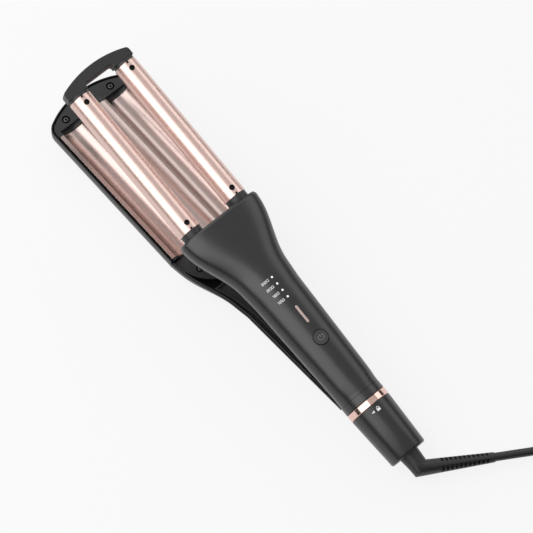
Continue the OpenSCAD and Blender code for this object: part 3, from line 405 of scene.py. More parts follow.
def turned_up(profile, x, y, z, steps=64):
    """A closed outline of (radius, height) points turned about an upright line through (x, y)."""
    r, h = np.asarray(profile, float).T
    a = full_turn(steps)[:, None]
    grid = np.stack([x + r * np.cos(a), y + r * np.sin(a), z + h + 0 * a], -1)
    return loft(grid, in_lower, ends=False, wrap_rows=True)


def smooth(t):
    """Rises from 0 to 1 along an S: three times the square less twice the cube."""
    t = np.clip(t, 0, 1)
    return t * t * (3 - 2 * t)


def flare(t, start, span, even):
    """Widening of an arm from grip to head: an S curve from start on, and a share that is even."""
    return (1 - even) * smooth((t - start) / span) + even * np.clip(t, 0, 1)


def signed_power(v, e):
    """The size raised to a power, with the sign kept: it squares up a circle's sine and cosine."""
    return np.sign(v) * np.abs(v) ** e


def arc(cx, cy, r, a0, a1, steps):
    """Points of a circle about (cx, cy) from the first to the second angle, in degrees."""
    a = np.radians(np.linspace(a0, a1, steps))
    return np.column_stack([cx + r * np.cos(a), cy + r * np.sin(a)])


def at_height(plan, z):
    """Outline points (x, y) lifted to one height."""
    return np.column_stack([plan, np.full(len(plan), z)])


def closed_wall(x, outer, inner, rim=()):
    """One section of a shell: its outer curve and back along its inner curve, at x. The rim
    lists points between the two, as shares of the way in and heights, for both edges."""
    share, rise = np.array(rim, float).reshape(-1, 2).T
    last = outer[-1] + share[:, None] * (inner[-1] - outer[-1]) + np.stack([0 * rise, rise], -1)
    first = outer[0] + share[:, None] * (inner[0] - outer[0]) + np.stack([0 * rise, rise], -1)
    loop = np.concatenate([outer, last, inner[::-1], first[::-1]])
    return np.column_stack([np.full(len(loop), x), loop])


# ---- Upper shell ----
def parting(x):
    """Height of the parting between the shells: it climbs evenly towards the head."""
    return PARTING_Z + PARTING_CLIMB * x / HEAD_X


def near_ring(x):
    """One at the neck's front, fading to none 12 mm further on."""
    return 1 - smooth((x - NECK_X) / 12)


def upper_flare(x):
    """Share of the widening from grip to head."""
    return flare((x - FLARE_X) / (HEAD_X - FLARE_X), start=0.22, span=0.68, even=0.42)


def upper_half(x):
    """Half width: an even taper along the grip, the flare on top of it, less at the neck."""
    grip = NECK_HALF + (GRIP_HALF - NECK_HALF) * np.clip(x / FLARE_X, 0, 1)
    return grip + (HEAD_HALF - GRIP_HALF) * upper_flare(x) - 0.15 * near_ring(x)


def upper_top(x):
    """Height along the middle: it rises from the neck, quickest at first, then stays level."""
    rise = TOP_RISE * np.clip(x / TOP_RISE_RUN, 0, 1) ** 0.8
    return NECK_TOP + rise + 0.2 * near_ring(x)


def side_z(x):
    """Height of the widest line: on the axis at the neck, and climbing slowly towards the head."""
    return (2 + PARTING_CLIMB * x / HEAD_X) * smooth((x + 4) / 14)


def upper_power(x):
    """Power of the section's oval: it grows from 2, an ellipse, to a squarer 2.6 at the head."""
    return 2 + 0.6 * upper_flare(x)


def upper_z(x, y):
    """Height of the upper shell at (x, y), on the oval of its section."""
    n = upper_power(x)
    rise = (1 - np.clip(np.abs(y) / upper_half(x), 0, 1) ** n) ** (1 / n)
    return side_z(x) + (upper_top(x) - side_z(x)) * rise


def upper_section(x, inset, steps=60):
    """Points (y, z) of the upper shell at x: an oval from one parting edge over to the other."""
    n = upper_power(x)
    middle = side_z(x)
    wrap = math.asin(min(1.0, max(0.0, (middle - parting(x)) / (BELLY - inset))) ** (n / 2))
    t = np.linspace(-wrap, math.pi + wrap, steps)
    height = np.where((t < 0) | (t > math.pi), BELLY - inset, upper_top(x) - middle - inset)
    return np.stack([(upper_half(x) - inset) * signed_power(np.cos(t), 2 / n),
                     middle + height * signed_power(np.sin(t), 2 / n)], -1)


def upper_shell_mesh():
    """Sections every 0.9 mm near the neck and every 1.5 mm from there on. The last three step in,
    to make the chamfer of the head's front."""
    stations = np.concatenate([np.arange(NECK_X, 10, 0.9), np.arange(10, 148, 1.5), [148.2, 148.6]])
    sections = [(x, x, 0) for x in stations]
    sections += [(149.0, 149.0, 0.12), (HEAD_X - 0.25, HEAD_X, 1.12), (HEAD_X, HEAD_X, 1.4)]
    rows = [closed_wall(x, upper_section(drawn_at, inset), upper_section(drawn_at, SHELL_WALL))
            for x, drawn_at, inset in sections]
    return loft(np.array(rows))


def over_top(x, y, lift):
    """Points that lie on the upper shell, lifted off it by a little."""
    return np.stack([x, y, upper_z(x, y) + lift], -1)


# ---- Button and lamps ----
def dome_mesh(x0, length, width, lift=0.12):
    """Rounded bar with half-round ends that follows the shell's top and swells slightly."""
    a = full_turn(64)
    run = (length - width) / 2
    share = np.array([0.02, 0.35, 0.6, 0.8, 0.93, 1.0, 1.0])[:, None]
    x = x0 + np.sign(np.round(np.cos(a), 6)) * run * np.minimum(share * 1.2, 1)
    x = x + share * width / 2 * np.cos(a)
    y = share * width / 2 * np.sin(a)
    height = lift * (1 - share ** 3) + 0.03
    height[-1] = -0.6
    return loft(over_top(x, y, height))


def button_mesh():
    """Round cap: a dished top, a rolled edge and a skirt that goes down into its hole."""
    a = full_turn(96)
    share = np.array([0.02, 0.3, 0.55, 0.75, 0.88, 0.95, 0.985, 1.0, 1.0])[:, None]
    drop = np.array([0.16, 0.15, 0.11, 0.05, 0.0, 0.02, 0.1, 0.3, 3.0])[:, None]
    top = upper_top(BUTTON_X) + 0.33 - 0.55 * (share * np.sin(a)) ** 2
    return loft(np.stack([BUTTON_X + BUTTON_R * share * np.cos(a),
                          BUTTON_R * share * np.sin(a), top - drop], -1))


def button_shade_ring_mesh():
    """Flat near-black ring round the button that follows the shell's top: painted shade of the gap round the cap.
    """
    a = full_turn(96)
    r = np.linspace(BUTTON_R - 0.05, BUTTON_R + 0.5, 3)[:, None]
    return loft(over_top(BUTTON_X + r * np.cos(a), r * np.sin(a), 0.02), ends=False)


# ---- Turned parts of the handle ----
def neck_outline():
    """Band between the ring and the shell, with a chamfer at its rear edge."""
    rear = RING_X1 + 0.1
    return [(rear, NECK_R - 0.35), (rear + 0.3, NECK_R), (NECK_X, NECK_R), (NECK_X, NECK_BORE),
            (rear, NECK_BORE)]


def ring_outline():
    """Trim ring, with a chamfer at both edges."""
    rear, front, bore, edge = RING_X0 + 0.05, RING_X1 - 0.05, TAIL_R + 0.05, 0.35
    return [(rear, RING_R - edge), (rear + edge, RING_R), (front - edge, RING_R),
            (front, RING_R - edge), (front, bore), (rear, bore)]


def sleeve_r(x):
    """Radius of the sleeve, which narrows evenly towards the rear."""
    slope = (SLEEVE_FRONT_R - SLEEVE_REAR_R) / (SLEEVE_FRONT_X - SLEEVE_REAR_X)
    return SLEEVE_FRONT_R + slope * (x - SLEEVE_FRONT_X)


def sleeve_outline():
    """Twist sleeve: a taper, a rolled rear edge, the hole for the boot's stem and the bore."""
    front, bore = SLEEVE_FRONT_X + 0.35, TAIL_R + 0.1
    return [(front, SLEEVE_FRONT_R - 0.28), (SLEEVE_FRONT_X, SLEEVE_FRONT_R), (-30, sleeve_r(-30)),
            (SLEEVE_REAR_X, SLEEVE_REAR_R), (SLEEVE_END_X + 0.6, SLEEVE_REAR_R - 0.19),
            (SLEEVE_END_X + 0.2, SLEEVE_REAR_R - 0.54), (SLEEVE_END_X, SLEEVE_REAR_R - 1.14),
            (SLEEVE_END_X, STEM_HOLE_R), (STEM_X1, STEM_HOLE_R), (STEM_X1, bore), (front, bore)]


# ---- Barrels ----
def barrel_mesh(side):
    """Tube: at each station an outer and an inner circle, whose ends draw in a little. A notch
    is left out of the top at both ends, and walls join the two circles round every opening."""
    steps, notch_steps = 128, 2
    xs = np.unique(np.concatenate([
        [BARREL_X0, BARREL_X0 + BARREL_EDGE, BARREL_X0 + NOTCH_LEN],
        [BARREL_X1 - NOTCH_LEN, BARREL_X1 - BARREL_EDGE, BARREL_X1],
        np.arange(BARREL_X0 + 3, BARREL_X1 - 2, 5)]))
    rows = len(xs)
    a = full_turn(steps) + math.pi / 2
    at_end = (xs == xs[0]) | (xs == xs[-1])
    r = np.stack([np.where(at_end, BARREL_R - 0.2, BARREL_R), np.full(rows, BARREL_BORE)])[..., None]
    points = np.stack(np.broadcast_arrays(
        xs[:, None], side * BARREL_Y + r * np.cos(a), BARREL_Z + r * np.sin(a)), -1)
    middle = ((xs[:-1] + xs[1:]) / 2)[:, None]
    step = np.arange(steps)
    near_top = (step < notch_steps) | (step >= steps - notch_steps)
    cut = near_top & ((middle < BARREL_X0 + NOTCH_LEN) | (middle > BARREL_X1 - NOTCH_LEN))

    def quads(i, j, corners):
        """Faces whose corners are (row, step, level) further on than each (i, j)."""
        numbers = [(level * rows + i + p) * steps + (j + q) % steps for p, q, level in corners]
        return np.stack(numbers, -1).tolist()

    kept = np.nonzero(~cut)
    faces = []
    for level in (0, 1):
        faces += quads(*kept, [(0, 0, level), (0, 1, level), (1, 1, level), (1, 0, level)])
    end = np.ones((1, steps), bool)
    for beside, p, q in ((np.concatenate([end, cut[:-1]]), (0, 0), (0, 1)),
                         (np.concatenate([cut[1:], end]), (1, 0), (1, 1)),
                         (np.roll(cut, 1, 1), (0, 0), (1, 0)),
                         (np.roll(cut, -1, 1), (0, 1), (1, 1))):
        faces += quads(*np.nonzero(beside & ~cut), [(*p, 0), (*q, 0), (*q, 1), (*p, 1)])
    return mesh_from(points.reshape(-1, 3), faces, in_handle)


def screw_mesh(x, y, z, radius, height, place):
    """Domed head on a polar grid, with a cross pressed into it."""
    share = np.array([0.0, 0.1, 0.2, 0.3, 0.4, 0.5, 0.6, 0.7, 0.8, 0.9, 0.97, 1.0, 1.0])[:, None]
    a = full_turn(64)
    px, py = radius * share * np.cos(a), radius * share * np.sin(a)
    arm = np.minimum(np.abs(px), np.abs(py))
    reach = np.maximum(np.abs(px), np.abs(py))
    cross = 1 - smooth((arm - 0.12 * radius) / (0.12 * radius))
    cross = cross * (1 - smooth((reach - 0.5 * radius) / (0.15 * radius)))
    pz = height * (1 - 0.25 * share ** 4) - 0.75 * height * cross
    pz[-2] = height * 0.6
    pz[-1] = 0
    return loft(np.stack([x + px, y + py, z + pz], -1), place)


def collar_outline():
    """Collar at a barrel's root: its foot sits in the head, and its front edge is rolled."""
    foot, front, bore = HEAD_X - 0.9, BARREL_X0 - 0.05, 3.5
    return [(foot, COLLAR_R - 0.4), (HEAD_X + 0.05, COLLAR_R), (front - 0.35, COLLAR_R),
            (front, COLLAR_R - 0.25), (front, bore), (foot, bore)]


def tip_collar_outline():
    """Collar between a barrel's tip and the bridge."""
    rear, front, bore = BARREL_X1 + 0.05, BRIDGE_X0 - 0.05, 3.0
    return [(rear, COLLAR_R - 0.2), (rear + 0.25, COLLAR_R), (front, COLLAR_R), (front, bore), (rear, bore)]


def tip_plan(rear, half, apex, front_r, corner_r, inset=0):
    """Outline of a rounded tip: straight sides, round corners and a shallow curved front."""
    corner_x = apex - front_r + math.sqrt((front_r - corner_r) ** 2 - (half - corner_r) ** 2)
    corner_y = half - corner_r
    turn = math.degrees(math.atan2(corner_y, corner_x - apex + front_r))
    side = np.concatenate([
        [[rear, inset - half]],
        arc(corner_x, -corner_y, max(corner_r - inset, 0.3), -90, -turn, 16),
        arc(apex - front_r, 0, front_r - inset, -turn + 1, -1, 16),
    ])
    return np.concatenate([side, side[::-1] * [1, -1]])


def bridge_mesh():
    """Flat bar across the barrel ends: curved front, and a window cut from its rear edge."""
    plan = tip_plan(BRIDGE_X0, BRIDGE_HALF, BRIDGE_X1, BRIDGE_FRONT_R, BRIDGE_CORNER_R)
    half, front = WINDOW_HALF, WINDOW_X1
    window = np.array([[BRIDGE_X0, half], [front - 1, half], [front, half - 1],
                       [front, 1 - half], [front - 1, -half], [BRIDGE_X0, -half]])
    outline = np.concatenate([plan, window])
    return loft(np.array([at_height(outline, z) for z in (BRIDGE_BOTTOM, BRIDGE_TOP)]))


# ---- Lower arm ----
# Rim of the lower shell between its outer and inner edge: shares of the way in, and heights.
STEPPED_RIM = ((0.04, 0.0), (0.3, 0.27), (0.7, 0.1), (0.96, 0.3))


def lower_flare(x):
    """Share of the widening from grip to frame."""
    return flare((x - ARM_FLARE_X) / (ARM_FLARE_END - ARM_FLARE_X), start=0.22, span=0.654, even=0.595)


def lower_half(x):
    """Half width: an even taper along the grip, with the flare on top of it."""
    grip = ARM_REAR_HALF + (ARM_GRIP_HALF - ARM_REAR_HALF) * np.clip(x / ARM_FLARE_X, 0, 1)
    return grip + (FRAME_HALF - ARM_GRIP_HALF) * lower_flare(x)


def lower_section(x, inset, steps=60):
    """Points (y, z) of the lower shell at x: the under half of an oval, cut at the parting. The
    oval's power grows from 2 to 4.2 along the flare."""
    n = 2 + 2.2 * lower_flare(x)
    depth = ARM_DEPTH - inset
    wrap = math.asin(min(1.0, max(0.0, (PARTING_GAP - parting(x)) / depth)) ** (n / 2))
    t = np.linspace(math.pi + wrap, 2 * math.pi - wrap, steps)
    return np.stack([(lower_half(x) - inset) * signed_power(np.cos(t), 2 / n),
                     depth * signed_power(np.sin(t), 2 / n)], -1)


def lower_shell_mesh():
    """Sections from hinge to frame; the rear ones lean so that the end stands square when open."""
    stations = np.concatenate([np.arange(ARM_X0, 16, 0.8), np.arange(16, 151.5, 1.7), [ARM_X1]])
    grid = np.array([closed_wall(x, lower_section(x, 0), lower_section(x, SHELL_WALL), STEPPED_RIM)
                     for x in stations])
    lean = math.tan(ARM_OPEN) * (1 - smooth((stations - ARM_X0) / 15))
    grid[..., 0] -= (grid[..., 2] - HINGE[2]) * lean[:, None]
    return loft(grid, in_lower)


def frame_plan(rear, inset):
    """Outline of the frame's tip, or of a line that runs inside it by the inset."""
    return tip_plan(rear, FRAME_HALF, TIP_X, FRAME_FRONT_R, FRAME_CORNER_R, inset)


def plate_frame_mesh():
    """Levels of the tip outline: up the curled outside, over the rim and down into the pocket.
    The rear is one flat face in the shape of a U, so the pocket stays open towards the handle."""
    under = ARM_DEPTH + FRAME_SIDE_Z
    levels = [(FRAME_CURL * (1 - math.cos(a)), FRAME_SIDE_Z - under * math.sin(a))
              for a in np.linspace(math.pi / 2, 0, 12)]
    levels += [(0, 0.45), (0.12, 0.82), (0.4, RIM_Z), (0.85, RIM_Z), (RIM_WALL, 0.8),
               (RIM_WALL, SHELF_Z), (SHELF, SHELF_Z), (SHELF, POCKET_Z)]
    rows = np.array([at_height(frame_plan(FRAME_X0, inset), z) for inset, z in levels])
    count, cols = rows.shape[:2]
    start = np.arange(count) * cols
    faces = grid_faces(count, cols)
    faces += [list(range(cols)), list(range(start[-1], start[-1] + cols)),
              np.concatenate([start, start[::-1] + cols - 1]).tolist()]
    return mesh_from(rows.reshape(-1, 3), faces, in_lower)


def rim_shade_strip_mesh():
    """Thin near-black strip that follows the tip's outline on top of the insulator, inside the frame's rim:
    painted shade of the gap there.
    """
    rows = [at_height(frame_plan(INSULATOR_X0, RIM_WALL + inset), INSULATOR_Z + 0.03)
            for inset in (0.5, 1.05)]
    return loft(np.array(rows), in_lower, ends=False, wrap_cols=False)


def plate_section():
    """Outline (y, z) of the wave plate: half of the ridge, a valley, the lip, the flat back and
    half of the slot behind the ridge, and then their mirror image."""
    ridge = arc(0, 0, 1, 90, 0, 25) * [BARREL_Y - VALLEY_R, RIDGE_HIGH] + [0, BARREL_Z]
    rim = 360 - math.degrees(math.asin((BARREL_Z - RIM_Z) / VALLEY_R))
    valley = arc(BARREL_Y, BARREL_Z, VALLEY_R, 180, rim, 40)[1:]
    lip = [[PLATE_HALF - 0.25, RIM_Z], [PLATE_HALF, 0.75], [PLATE_HALF, -1]]
    back = [[25.1, PLATE_BACK_Z], [6, PLATE_BACK_Z], [6, 5]]
    half = np.concatenate([ridge, valley, lip, back])
    return np.concatenate([half, half[:0:-1] * [-1, 1]])


def wave_plate_mesh():
    """The section carried along the arm, drawn in towards its middle at both ends."""
    section = plate_section()
    pull = section - [0.0, -1.0]
    pull = pull / np.maximum(np.linalg.norm(pull, axis=1), 1)[:, None]
    ends = [(0, 0.35), (0.25, 0.1), (0.7, 0)]
    stations = [(PLATE_X0 + run, draw) for run, draw in ends]
    stations += [(PLATE_X1 - run, draw) for run, draw in ends[::-1]]
    rows = [np.column_stack([np.full(len(section), x), section - draw * pull]) for x, draw in stations]
    return loft(np.array(rows), in_lower)


# ---- Swivel cord ----
def strain_relief_mesh():
    """Tube about a bent line: the stem, one slanted ring at the mitre, then the slotted taper.
    Slots are cut where the angle round the tube is near a diagonal."""
    a = full_turn(128)
    across, up = np.array([0.0, 1.0, 0.0]), np.array([0.0, 0.0, 1.0])
    along = np.array([-math.cos(BOOT_TURN), -math.sin(BOOT_TURN), 0.0])
    outside = np.array([-math.sin(BOOT_TURN), math.cos(BOOT_TURN), 0.0])
    elbow = np.array([ELBOW_X, 0.0, 0.0])
    diagonal = 1 - smooth((np.abs((np.degrees(a) % 90) - 45) - 23) / 2.5)

    def ring(centre, r, out, r_up):
        r, r_up = np.broadcast_to(r, a.shape), np.broadcast_to(r_up, a.shape)
        return centre + (r * np.cos(a))[:, None] * out + (r_up * np.sin(a))[:, None] * up

    stem = ((STEM_X1, 7.5), (SLEEVE_END_X + 0.6, 7.4), (-58, 7.1), (-61.5, 6.8), (-63.8, 6.65))
    rows = [ring(np.array([x, 0, 0]), r, across, r) for x, r in stem]
    inner, outer = np.array([-64.6, -6.62, 0.0]), np.array([-69.85, 6.6, 0.0])
    rows.append(ring((inner + outer) / 2, 1.0, (outer - inner) / 2, 6.15))
    stations = [(5.4, 0, 0), (7, 0, 0), (9, 0, 0), (11.5, 0, 0)]
    for start in SLOT_FIRST + SLOT_PITCH * np.arange(SLOTS):
        end = start + SLOT_LEN
        stations += [(start - 0.05, 0, 0), (start + 0.05, SLOT_DEPTH, 0),
                     (end - 0.05, SLOT_DEPTH, 0), (end + 0.05, 0, 0)]
    stations += [(50.5, 0, 0), (51.6, 0, 0), (52.2, 0, 0.25), (BOOT_LEN, 0, 0.5)]
    for s, slot, edge in stations:
        r = BOOT_R - BOOT_TAPER * s / BOOT_LEN - edge - slot * diagonal
        rows.append(ring(elbow + s * along, r, outside, r))
    return loft(np.array(rows), sharp=28)


# Where the plug's neck starts, in the frame at rest
PLUG = np.array([-357.0, -40.6, 7.0])


def plug_mesh():
    """Flat plug: oval sections that grow from the cord's neck, narrow at a grip, and end flat."""
    sections = ((0, 3.6, 3.6, 2), (1, 4.3, 4.3, 2), (10, 4.6, 4.6, 2), (14, 7, 5.4, 2.4),
                (20, 9.8, 6.3, 2.8), (24, 10.6, 6.5, 3), (27, 11.2, 6.7, 3.4), (30, 12.6, 7, 4),
                (35, 13, 7, 5), (36, 12.5, 6.5, 5))
    y, wide, high, n = np.array(sections, float).T[..., None]
    a = full_turn(72)
    return loft(PLUG + np.stack([wide * signed_power(np.cos(a), 2 / n), y + 0 * a,
                                 high * signed_power(np.sin(a), 2 / n)], -1), as_laid)


# Route of the lead in the frame at rest: from the boot to the coil, and from the coil to the plug
LEAD = np.array([
    [-209.15, -45.5, 7.3], [-212.1, -50.7, 6.8], [-215.9, -57.6, 6], [-220.8, -66.3, 5],
    [-225.6, -75, 4.15], [-229.9, -81.6, 3.6], [-235.1, -87.5, 3.25], [-240.9, -92.7, 3],
    [-247.4, -97.1, 3], [-254.5, -100.6, 3.05], [-261.9, -103.2, 3.15], [-278.2, -107.7, 3.3]])
TAIL = np.array([[-354.1, -61.1, 9.6], [-354.3, -53.1, 9.4], [-355.3, -48.6, 8.6],
                 [-356.3, -44.6, 7.7], [-357.0, -39.9, 7.1]])
# The coil winds in, makes a raised turn inside and winds out again. Its turns are counted from 0.
COIL_MIDDLE = (-307.5, -69.1)
COIL_START, COIL_TURNS, TURNS_IN, TURNS_INSIDE = math.radians(-74.68), 7.29256, 3, 1.1
COIL_R, COIL_PITCH, COIL_TUCK, COIL_Z = 45.0, 6.0, 3.2, 3.6


def coil_points():
    """Flat spiral inwards on the table, a turn that climbs inside it, and a spiral back out."""
    t = np.append(np.arange(0, COIL_TURNS - 0.01, 1 / 24), COIL_TURNS)
    inner_r = COIL_R - COIL_PITCH * TURNS_IN
    climb = np.clip((t - TURNS_IN) / TURNS_INSIDE, 0, 1)
    r = np.where(t < TURNS_IN, COIL_R - COIL_PITCH * t,
                 inner_r + COIL_PITCH * np.maximum(t - TURNS_IN - TURNS_INSIDE, 0))
    r = r - COIL_TUCK * np.sin(math.pi * climb)
    z = COIL_Z + 2 * CORD_R * smooth((t - TURNS_IN) / 0.99)
    a = COIL_START - 2 * math.pi * t
    return np.column_stack([COIL_MIDDLE[0] + r * np.cos(a), COIL_MIDDLE[1] + r * np.sin(a), z])


def make_cord():
    """One smooth line through the route's points, with the lead's thickness."""
    route = np.concatenate([LEAD, coil_points(), TAIL]) / 1000
    curve = bpy.data.curves.new("mains_lead", "CURVE")
    curve.dimensions = "3D"
    spline = curve.splines.new("BEZIER")
    spline.bezier_points.add(len(route) - 1)
    spline.bezier_points.foreach_set("co", route.ravel())
    for point in spline.bezier_points:
        point.handle_left_type = point.handle_right_type = "AUTO"
    spline.resolution_u = 4
    curve.bevel_depth = CORD_R / 1000
    curve.bevel_resolution = 5
    curve.use_fill_caps = True
    curve.materials.append(RUBBER)
    cord = bpy.data.objects.new("mains_lead", curve)
    bpy.context.scene.collection.objects.link(cord)
    return cord, route


# ---- Pieces of the cord ----
cord, cord_route = make_cord()
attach(cord, "cord_swivel")
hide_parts("cord_lead", "cord_coil")
plug = soften(make_piece("plug_shell", plug_mesh(), "cord_swivel", RUBBER,
                         ["plug_body"]), 0.4)
boot = make_piece("strain_boot", strain_relief_mesh(), "cord_swivel", RUBBER,
                  ["strain_relief"])

# ---- Pieces of the handle ----
SIDES = {"left": 1, "right": -1}
soften(make_piece("upper_skin", upper_shell_mesh(), "handle", SATIN,
                  ["upper_shell"]), 0.25)
make_piece("neck_band", lathe(neck_outline()), "handle", SATIN)
make_piece("ring_band", lathe(ring_outline(), steps=160), "handle", MIRROR_ROSE,
           ["trim_ring"])
make_piece("sleeve_skin", lathe(sleeve_outline(), steps=128, sharp=32), "lock_collar",
           SATIN, ["lock_sleeve"])
for word, side in SIDES.items():
    make_piece("barrel_skin_" + word, barrel_mesh(side), "handle", ROSE,
               ["barrel_" + word])
    centre = (side * BARREL_Y, BARREL_Z)
    make_piece("collar_skin_" + word, lathe(collar_outline(), centre), "handle", MATT)
    make_piece("tip_collar_" + word, lathe(tip_collar_outline(), centre), "handle", MATT)
    for spot, x in BARREL_SCREWS.items():
        head = screw_mesh(x, side * BARREL_Y, BARREL_Z + BARREL_R - 0.05, BARREL_SCREW_R, 0.75, in_handle)
        make_piece(f"barrel_screw_{word}_{spot}", head, "handle", BLACK_STEEL,
                   ["barrel_screws"] if (word, spot) == ("left", "rear") else ())
soften(make_piece("bridge_skin", bridge_mesh(), "handle", MATT, ["tip_bridge"]), 0.7, 3)
make_piece("button_cap", button_mesh(), "power_button", BUTTON, ["power_button"])
# Near-black ring laid on the shell round the button: painted shade of the gap round the cap.
make_piece("button_gap_shade", button_shade_ring_mesh(), "handle", PAINTED_SHADE)
for k in range(4):
    make_piece(f"lamp_dot_{k + 1}", dome_mesh(LAMP_X + LAMP_PITCH * k, LAMP_SIZE, LAMP_SIZE), "handle",
               LAMP, ["light_pipes"] if k == 0 else ())
make_piece("lamp_bar", dome_mesh(BAR_X, BAR_LEN, BAR_WIDE), "handle", LENS,
           ["indicator_bar"])

# ---- Pieces of the lower arm ----
# Outlines (radius, height) of the ringed recess round a screw and of the hollow in its cross. Both are lined
# near-black as painted shade of the recess and the hollow.
SCREW_WELL_SHADE = [(2.95, 0.83), (2.95, 0.8), (2.78, 0.8), (2.78, 0.0), (1.7, 0.0), (1.7, 0.05), (2.72, 0.05),
        (2.72, 0.83)]
SCREW_SOCKET_SHADE = [(0.6, 0.74), (0.6, 0.6), (0.05, 0.6), (0.05, 0.74)]
soften(make_piece("lower_skin", lower_shell_mesh(), "lower_arm", LOWER_SATIN,
                  ["lower_shell"]), 0.2)
make_piece("frame_skin", plate_frame_mesh(), "lower_arm", LOWER_SATIN, ["plate_frame"])
# Near-black strip on the insulator inside the rim: painted shade of the gap.
make_piece("rim_gap_shade", rim_shade_strip_mesh(), "lower_arm", PAINTED_SHADE)
make_piece("plate_skin", wave_plate_mesh(), "lower_arm", SHADED_PLATE_ROSE, ["wave_plate"])
for word, side in SIDES.items():
    for spot, x, y, top in INSULATOR_SCREWS:
        head = screw_mesh(x, side * y, top - 0.78, INSULATOR_SCREW_R, 0.7, in_lower)
        make_piece(f"insulator_screw_{word}_{spot}", head, "lower_arm", GREY_SCREW,
                   ["insulator_screws"] if (word, spot) == ("left", "tip") else ())
        # Near-black linings of the recess and of the cross's hollow: painted shade.
        make_piece(f"screw_well_shade_{word}_{spot}", turned_up(SCREW_WELL_SHADE, x, side * y, top - 0.79),
                   "lower_arm", PAINTED_SHADE)
        make_piece(f"screw_socket_shade_{word}_{spot}",
                   turned_up(SCREW_SOCKET_SHADE, x, side * y, top - 0.79, steps=24),
                   "lower_arm", PAINTED_SHADE)


# ---- Printed marks ----
# A mark is flat at first: its points as an array of (right, up), and its faces.
def joined(*shapes):
    """One flat shape from several: each one's faces count on from the points before it."""
    points, faces, start = [], [], 0
    for some, sides in shapes:
        faces += (np.array(sides) + start).tolist()
        points.append(some)
        start += len(some)
    return np.concatenate(points), faces


def moved(shape, right, up):
    """The flat shape, shifted."""
    return shape[0] + [right, up], shape[1]


def band(cx, cy, r0, r1, a0, a1, steps=20):
    """Part of a flat ring between two radii and two angles."""
    edges = [arc(cx, cy, r, a0, a1, steps) for r in (r0, r1)]
    return np.concatenate(edges), grid_faces(2, steps)


def patch(low, high, steps=9):
    """Strip between two edges, each given by its ends, cut across so that it can follow a curve."""
    edges = [np.linspace(*edge, steps) for edge in (low, high)]
    return np.concatenate(edges), grid_faces(2, steps)


def bar_shape(x, y, wide, high):
    """Rectangle with one corner at (x, y)."""
    return np.array([[x, y], [x + wide, y], [x + wide, y + high], [x, y + high]]), [[0, 1, 2, 3]]


def block_figures(text, stroke=0.29, space=0.34):
    """Square figures made of flat bars, with the right edge of the last one at zero."""
    high, wide = FIGURE_HIGH, FIGURE_WIDE
    top, middle, right = high - stroke, (high - stroke) / 2, wide - stroke
    bars = {
        "top": (0, top, wide, stroke), "middle": (0, middle, wide, stroke), "foot": (0, 0, wide, stroke),
        "left_up": (0, middle, stroke, high - middle), "left_down": (0, 0, stroke, middle + stroke),
        "right_up": (right, middle, stroke, high - middle),
        "right_down": (right, 0, stroke, middle + stroke),
        "one": (0.6, 0, stroke, high), "flag": (0.15, top, 0.6, stroke),
    }
    ring = ["top", "foot", "left_up", "left_down", "right_up", "right_down"]
    figures = {
        "0": ring, "1": ["one", "flag"], "2": ["top", "middle", "foot", "right_up", "left_down"],
        "6": ["top", "middle", "foot", "left_up", "left_down", "right_down"], "8": ring + ["middle"],
    }
    drawn, x = [], 0.0
    for figure in text:
        drawn += [moved(bar_shape(*bars[name]), x, 0) for name in figures[figure]]
        x += space + (1.04 if figure == "1" else wide)
    return moved(joined(*drawn), space - x, 0)


def on_shell(x, y):
    """Just above the upper shell."""
    return over_top(x, y, 0.05)


def on_sleeve(x, y):
    """Just above the sleeve's cone."""
    return np.stack([x, y, np.sqrt(sleeve_r(x) ** 2 - y * y) + 0.03], -1)


def on_button(x, y):
    """Just above the button's dished top."""
    return np.stack([x, y, 0 * x + upper_top(BUTTON_X) + 0.2 - 0.02 * y * y], -1)


def print_on_top(name, shape, body, surface, material=PRINT):
    """Lays a flat shape on a surface: its own right is -Y and its own up is +X."""
    flat, faces = shape
    points = surface(flat[:, 1], -flat[:, 0])
    mesh = mesh_from(points, faces, in_handle, outwards=False)
    make_piece(name, mesh, body, material)


for k, text in enumerate(("160", "180", "200", "220")):
    low = LAMP_X - FIGURE_HIGH / 2 + LAMP_PITCH * k
    print_on_top("figures_" + text, moved(block_figures(text), -FIGURE_Y, low), "handle", on_shell)
padlock = joined(patch(([-1.35, -1.5], [1.35, -1.5]), ([-1.35, 0.3], [1.35, 0.3])),
                 band(0, 0.65, 0.72, 1.12, -25, 205))
print_on_top("mark_padlock", moved(padlock, -0.75, -18.2), "lock_collar", on_sleeve)
arrow = patch(([-1.2, -0.05], [1.1, -0.8]), ([-1.2, 0.05], [1.1, 0.8]))
print_on_top("mark_arrow", moved(arrow, -5.1, -18.3), "lock_collar", on_sleeve)
power = joined(band(0, 0, 1.9, 2.45, 125, 415, 40), bar_shape(-0.28, 0.2, 0.56, 2.7))
print_on_top("mark_power", moved(power, 0, BUTTON_X), "power_button", on_button, MARK_AND_RIM_HIGHLIGHT)
# Pale ring on the crown of the button's rolled edge: a painted highlight.
print_on_top("mark_rim_highlight", band(0, BUTTON_X, 4.0, 4.5, 0, 360, 72), "power_button", on_button, MARK_AND_RIM_HIGHLIGHT)


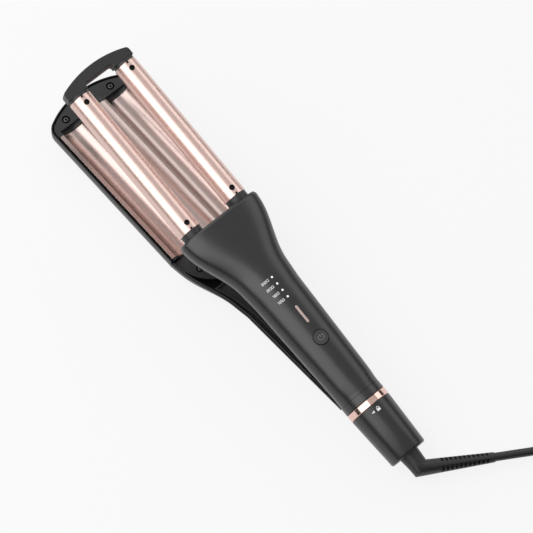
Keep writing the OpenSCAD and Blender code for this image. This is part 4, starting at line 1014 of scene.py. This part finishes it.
# ---- Floor and light ----
def pale_floor():
    """A large flat floor. The camera and what mirrors it see it nearly white, with part of the
    shadow kept; for all other light it is pale paint."""
    graph = Graph("pale_floor")
    graph.tree.nodes.remove(graph.tree.nodes["Principled BSDF"])
    camera_ray = graph.node("ShaderNodeLightPath", {}, {}, "Is Camera Ray")
    mirrored = camera_ray.beside("Is Glossy Ray").or_larger(camera_ray.beside("Is Transmission Ray"))
    paint = graph.node("ShaderNodeBsdfDiffuse", {}, {"Color": (0.86, 0.86, 0.86, 1)})
    glow = graph.node("ShaderNodeEmission", {}, {"Color": (0.96, 0.96, 0.96, 1)})
    share = camera_ray.or_larger(mirrored) * 0.88
    mixed = graph.node("ShaderNodeMixShader", {}, {0: share, 1: paint, 2: glow})
    graph.put(graph.tree.nodes["Material Output"].inputs["Surface"], mixed)
    mesh = bpy.data.meshes.new("floor")
    mesh.from_pydata([(-9, -9, 0), (9, -9, 0), (9, 9, 0), (-9, 9, 0)], [], [[0, 1, 2, 3]])
    mesh.materials.append(graph.material)
    floor = bpy.data.objects.new("floor", mesh)
    bpy.context.scene.collection.objects.link(floor)


def area_lamp(name, length, width, radiance, place, turn):
    """Flat lamp, in metres. Its power is its radiance times pi times its area."""
    data = bpy.data.lights.new(name, "AREA")
    data.shape = "RECTANGLE"
    data.size, data.size_y = length, width
    data.energy = radiance * math.pi * length * width
    lamp = bpy.data.objects.new(name, data)
    bpy.context.scene.collection.objects.link(lamp)
    lamp.location = place
    lamp.rotation_euler = turn


def softbox(name, low, high, distance, start, length, radiance):
    """Long lamp beside the waver, from start on along X. It fills the angles from low to high, in
    degrees from straight up and positive to the left."""
    width = 2 * distance * math.tan(math.radians(high - low) / 2)
    lean = math.radians((low + high) / 2)
    place = (start + length / 2, distance * math.sin(lean), 0.03 + distance * math.cos(lean))
    area_lamp(name, length, width, radiance, place, (-lean, 0, 0))


def light_room():
    """Dim grey room with a wide softbox on the left, a narrow one on the right, a weak one above
    and one in front of the tip."""
    world = bpy.data.worlds.new("room")
    bpy.context.scene.world = world
    world.use_nodes = True
    back = world.node_tree.nodes["Background"]
    back.inputs["Color"].default_value = (1, 1, 1, 1)
    back.inputs["Strength"].default_value = 0.05
    softbox("left_softbox", 8, 67, distance=1.2, start=-0.48, length=1.9, radiance=2.35)
    softbox("right_softbox", -70, -40, distance=1.2, start=-0.55, length=1.9, radiance=1.5)
    softbox("top_softbox", -36, 6, distance=1.5, start=-1.2, length=2.4, radiance=0.56)
    area_lamp("front_softbox", length=1.2, width=0.7, radiance=1.6, place=(1.25, 0, 0.72),
              turn=(math.radians(60), 0, math.radians(90)))


pale_floor()
light_room()
bpy.context.scene.view_settings.view_transform = "Standard"
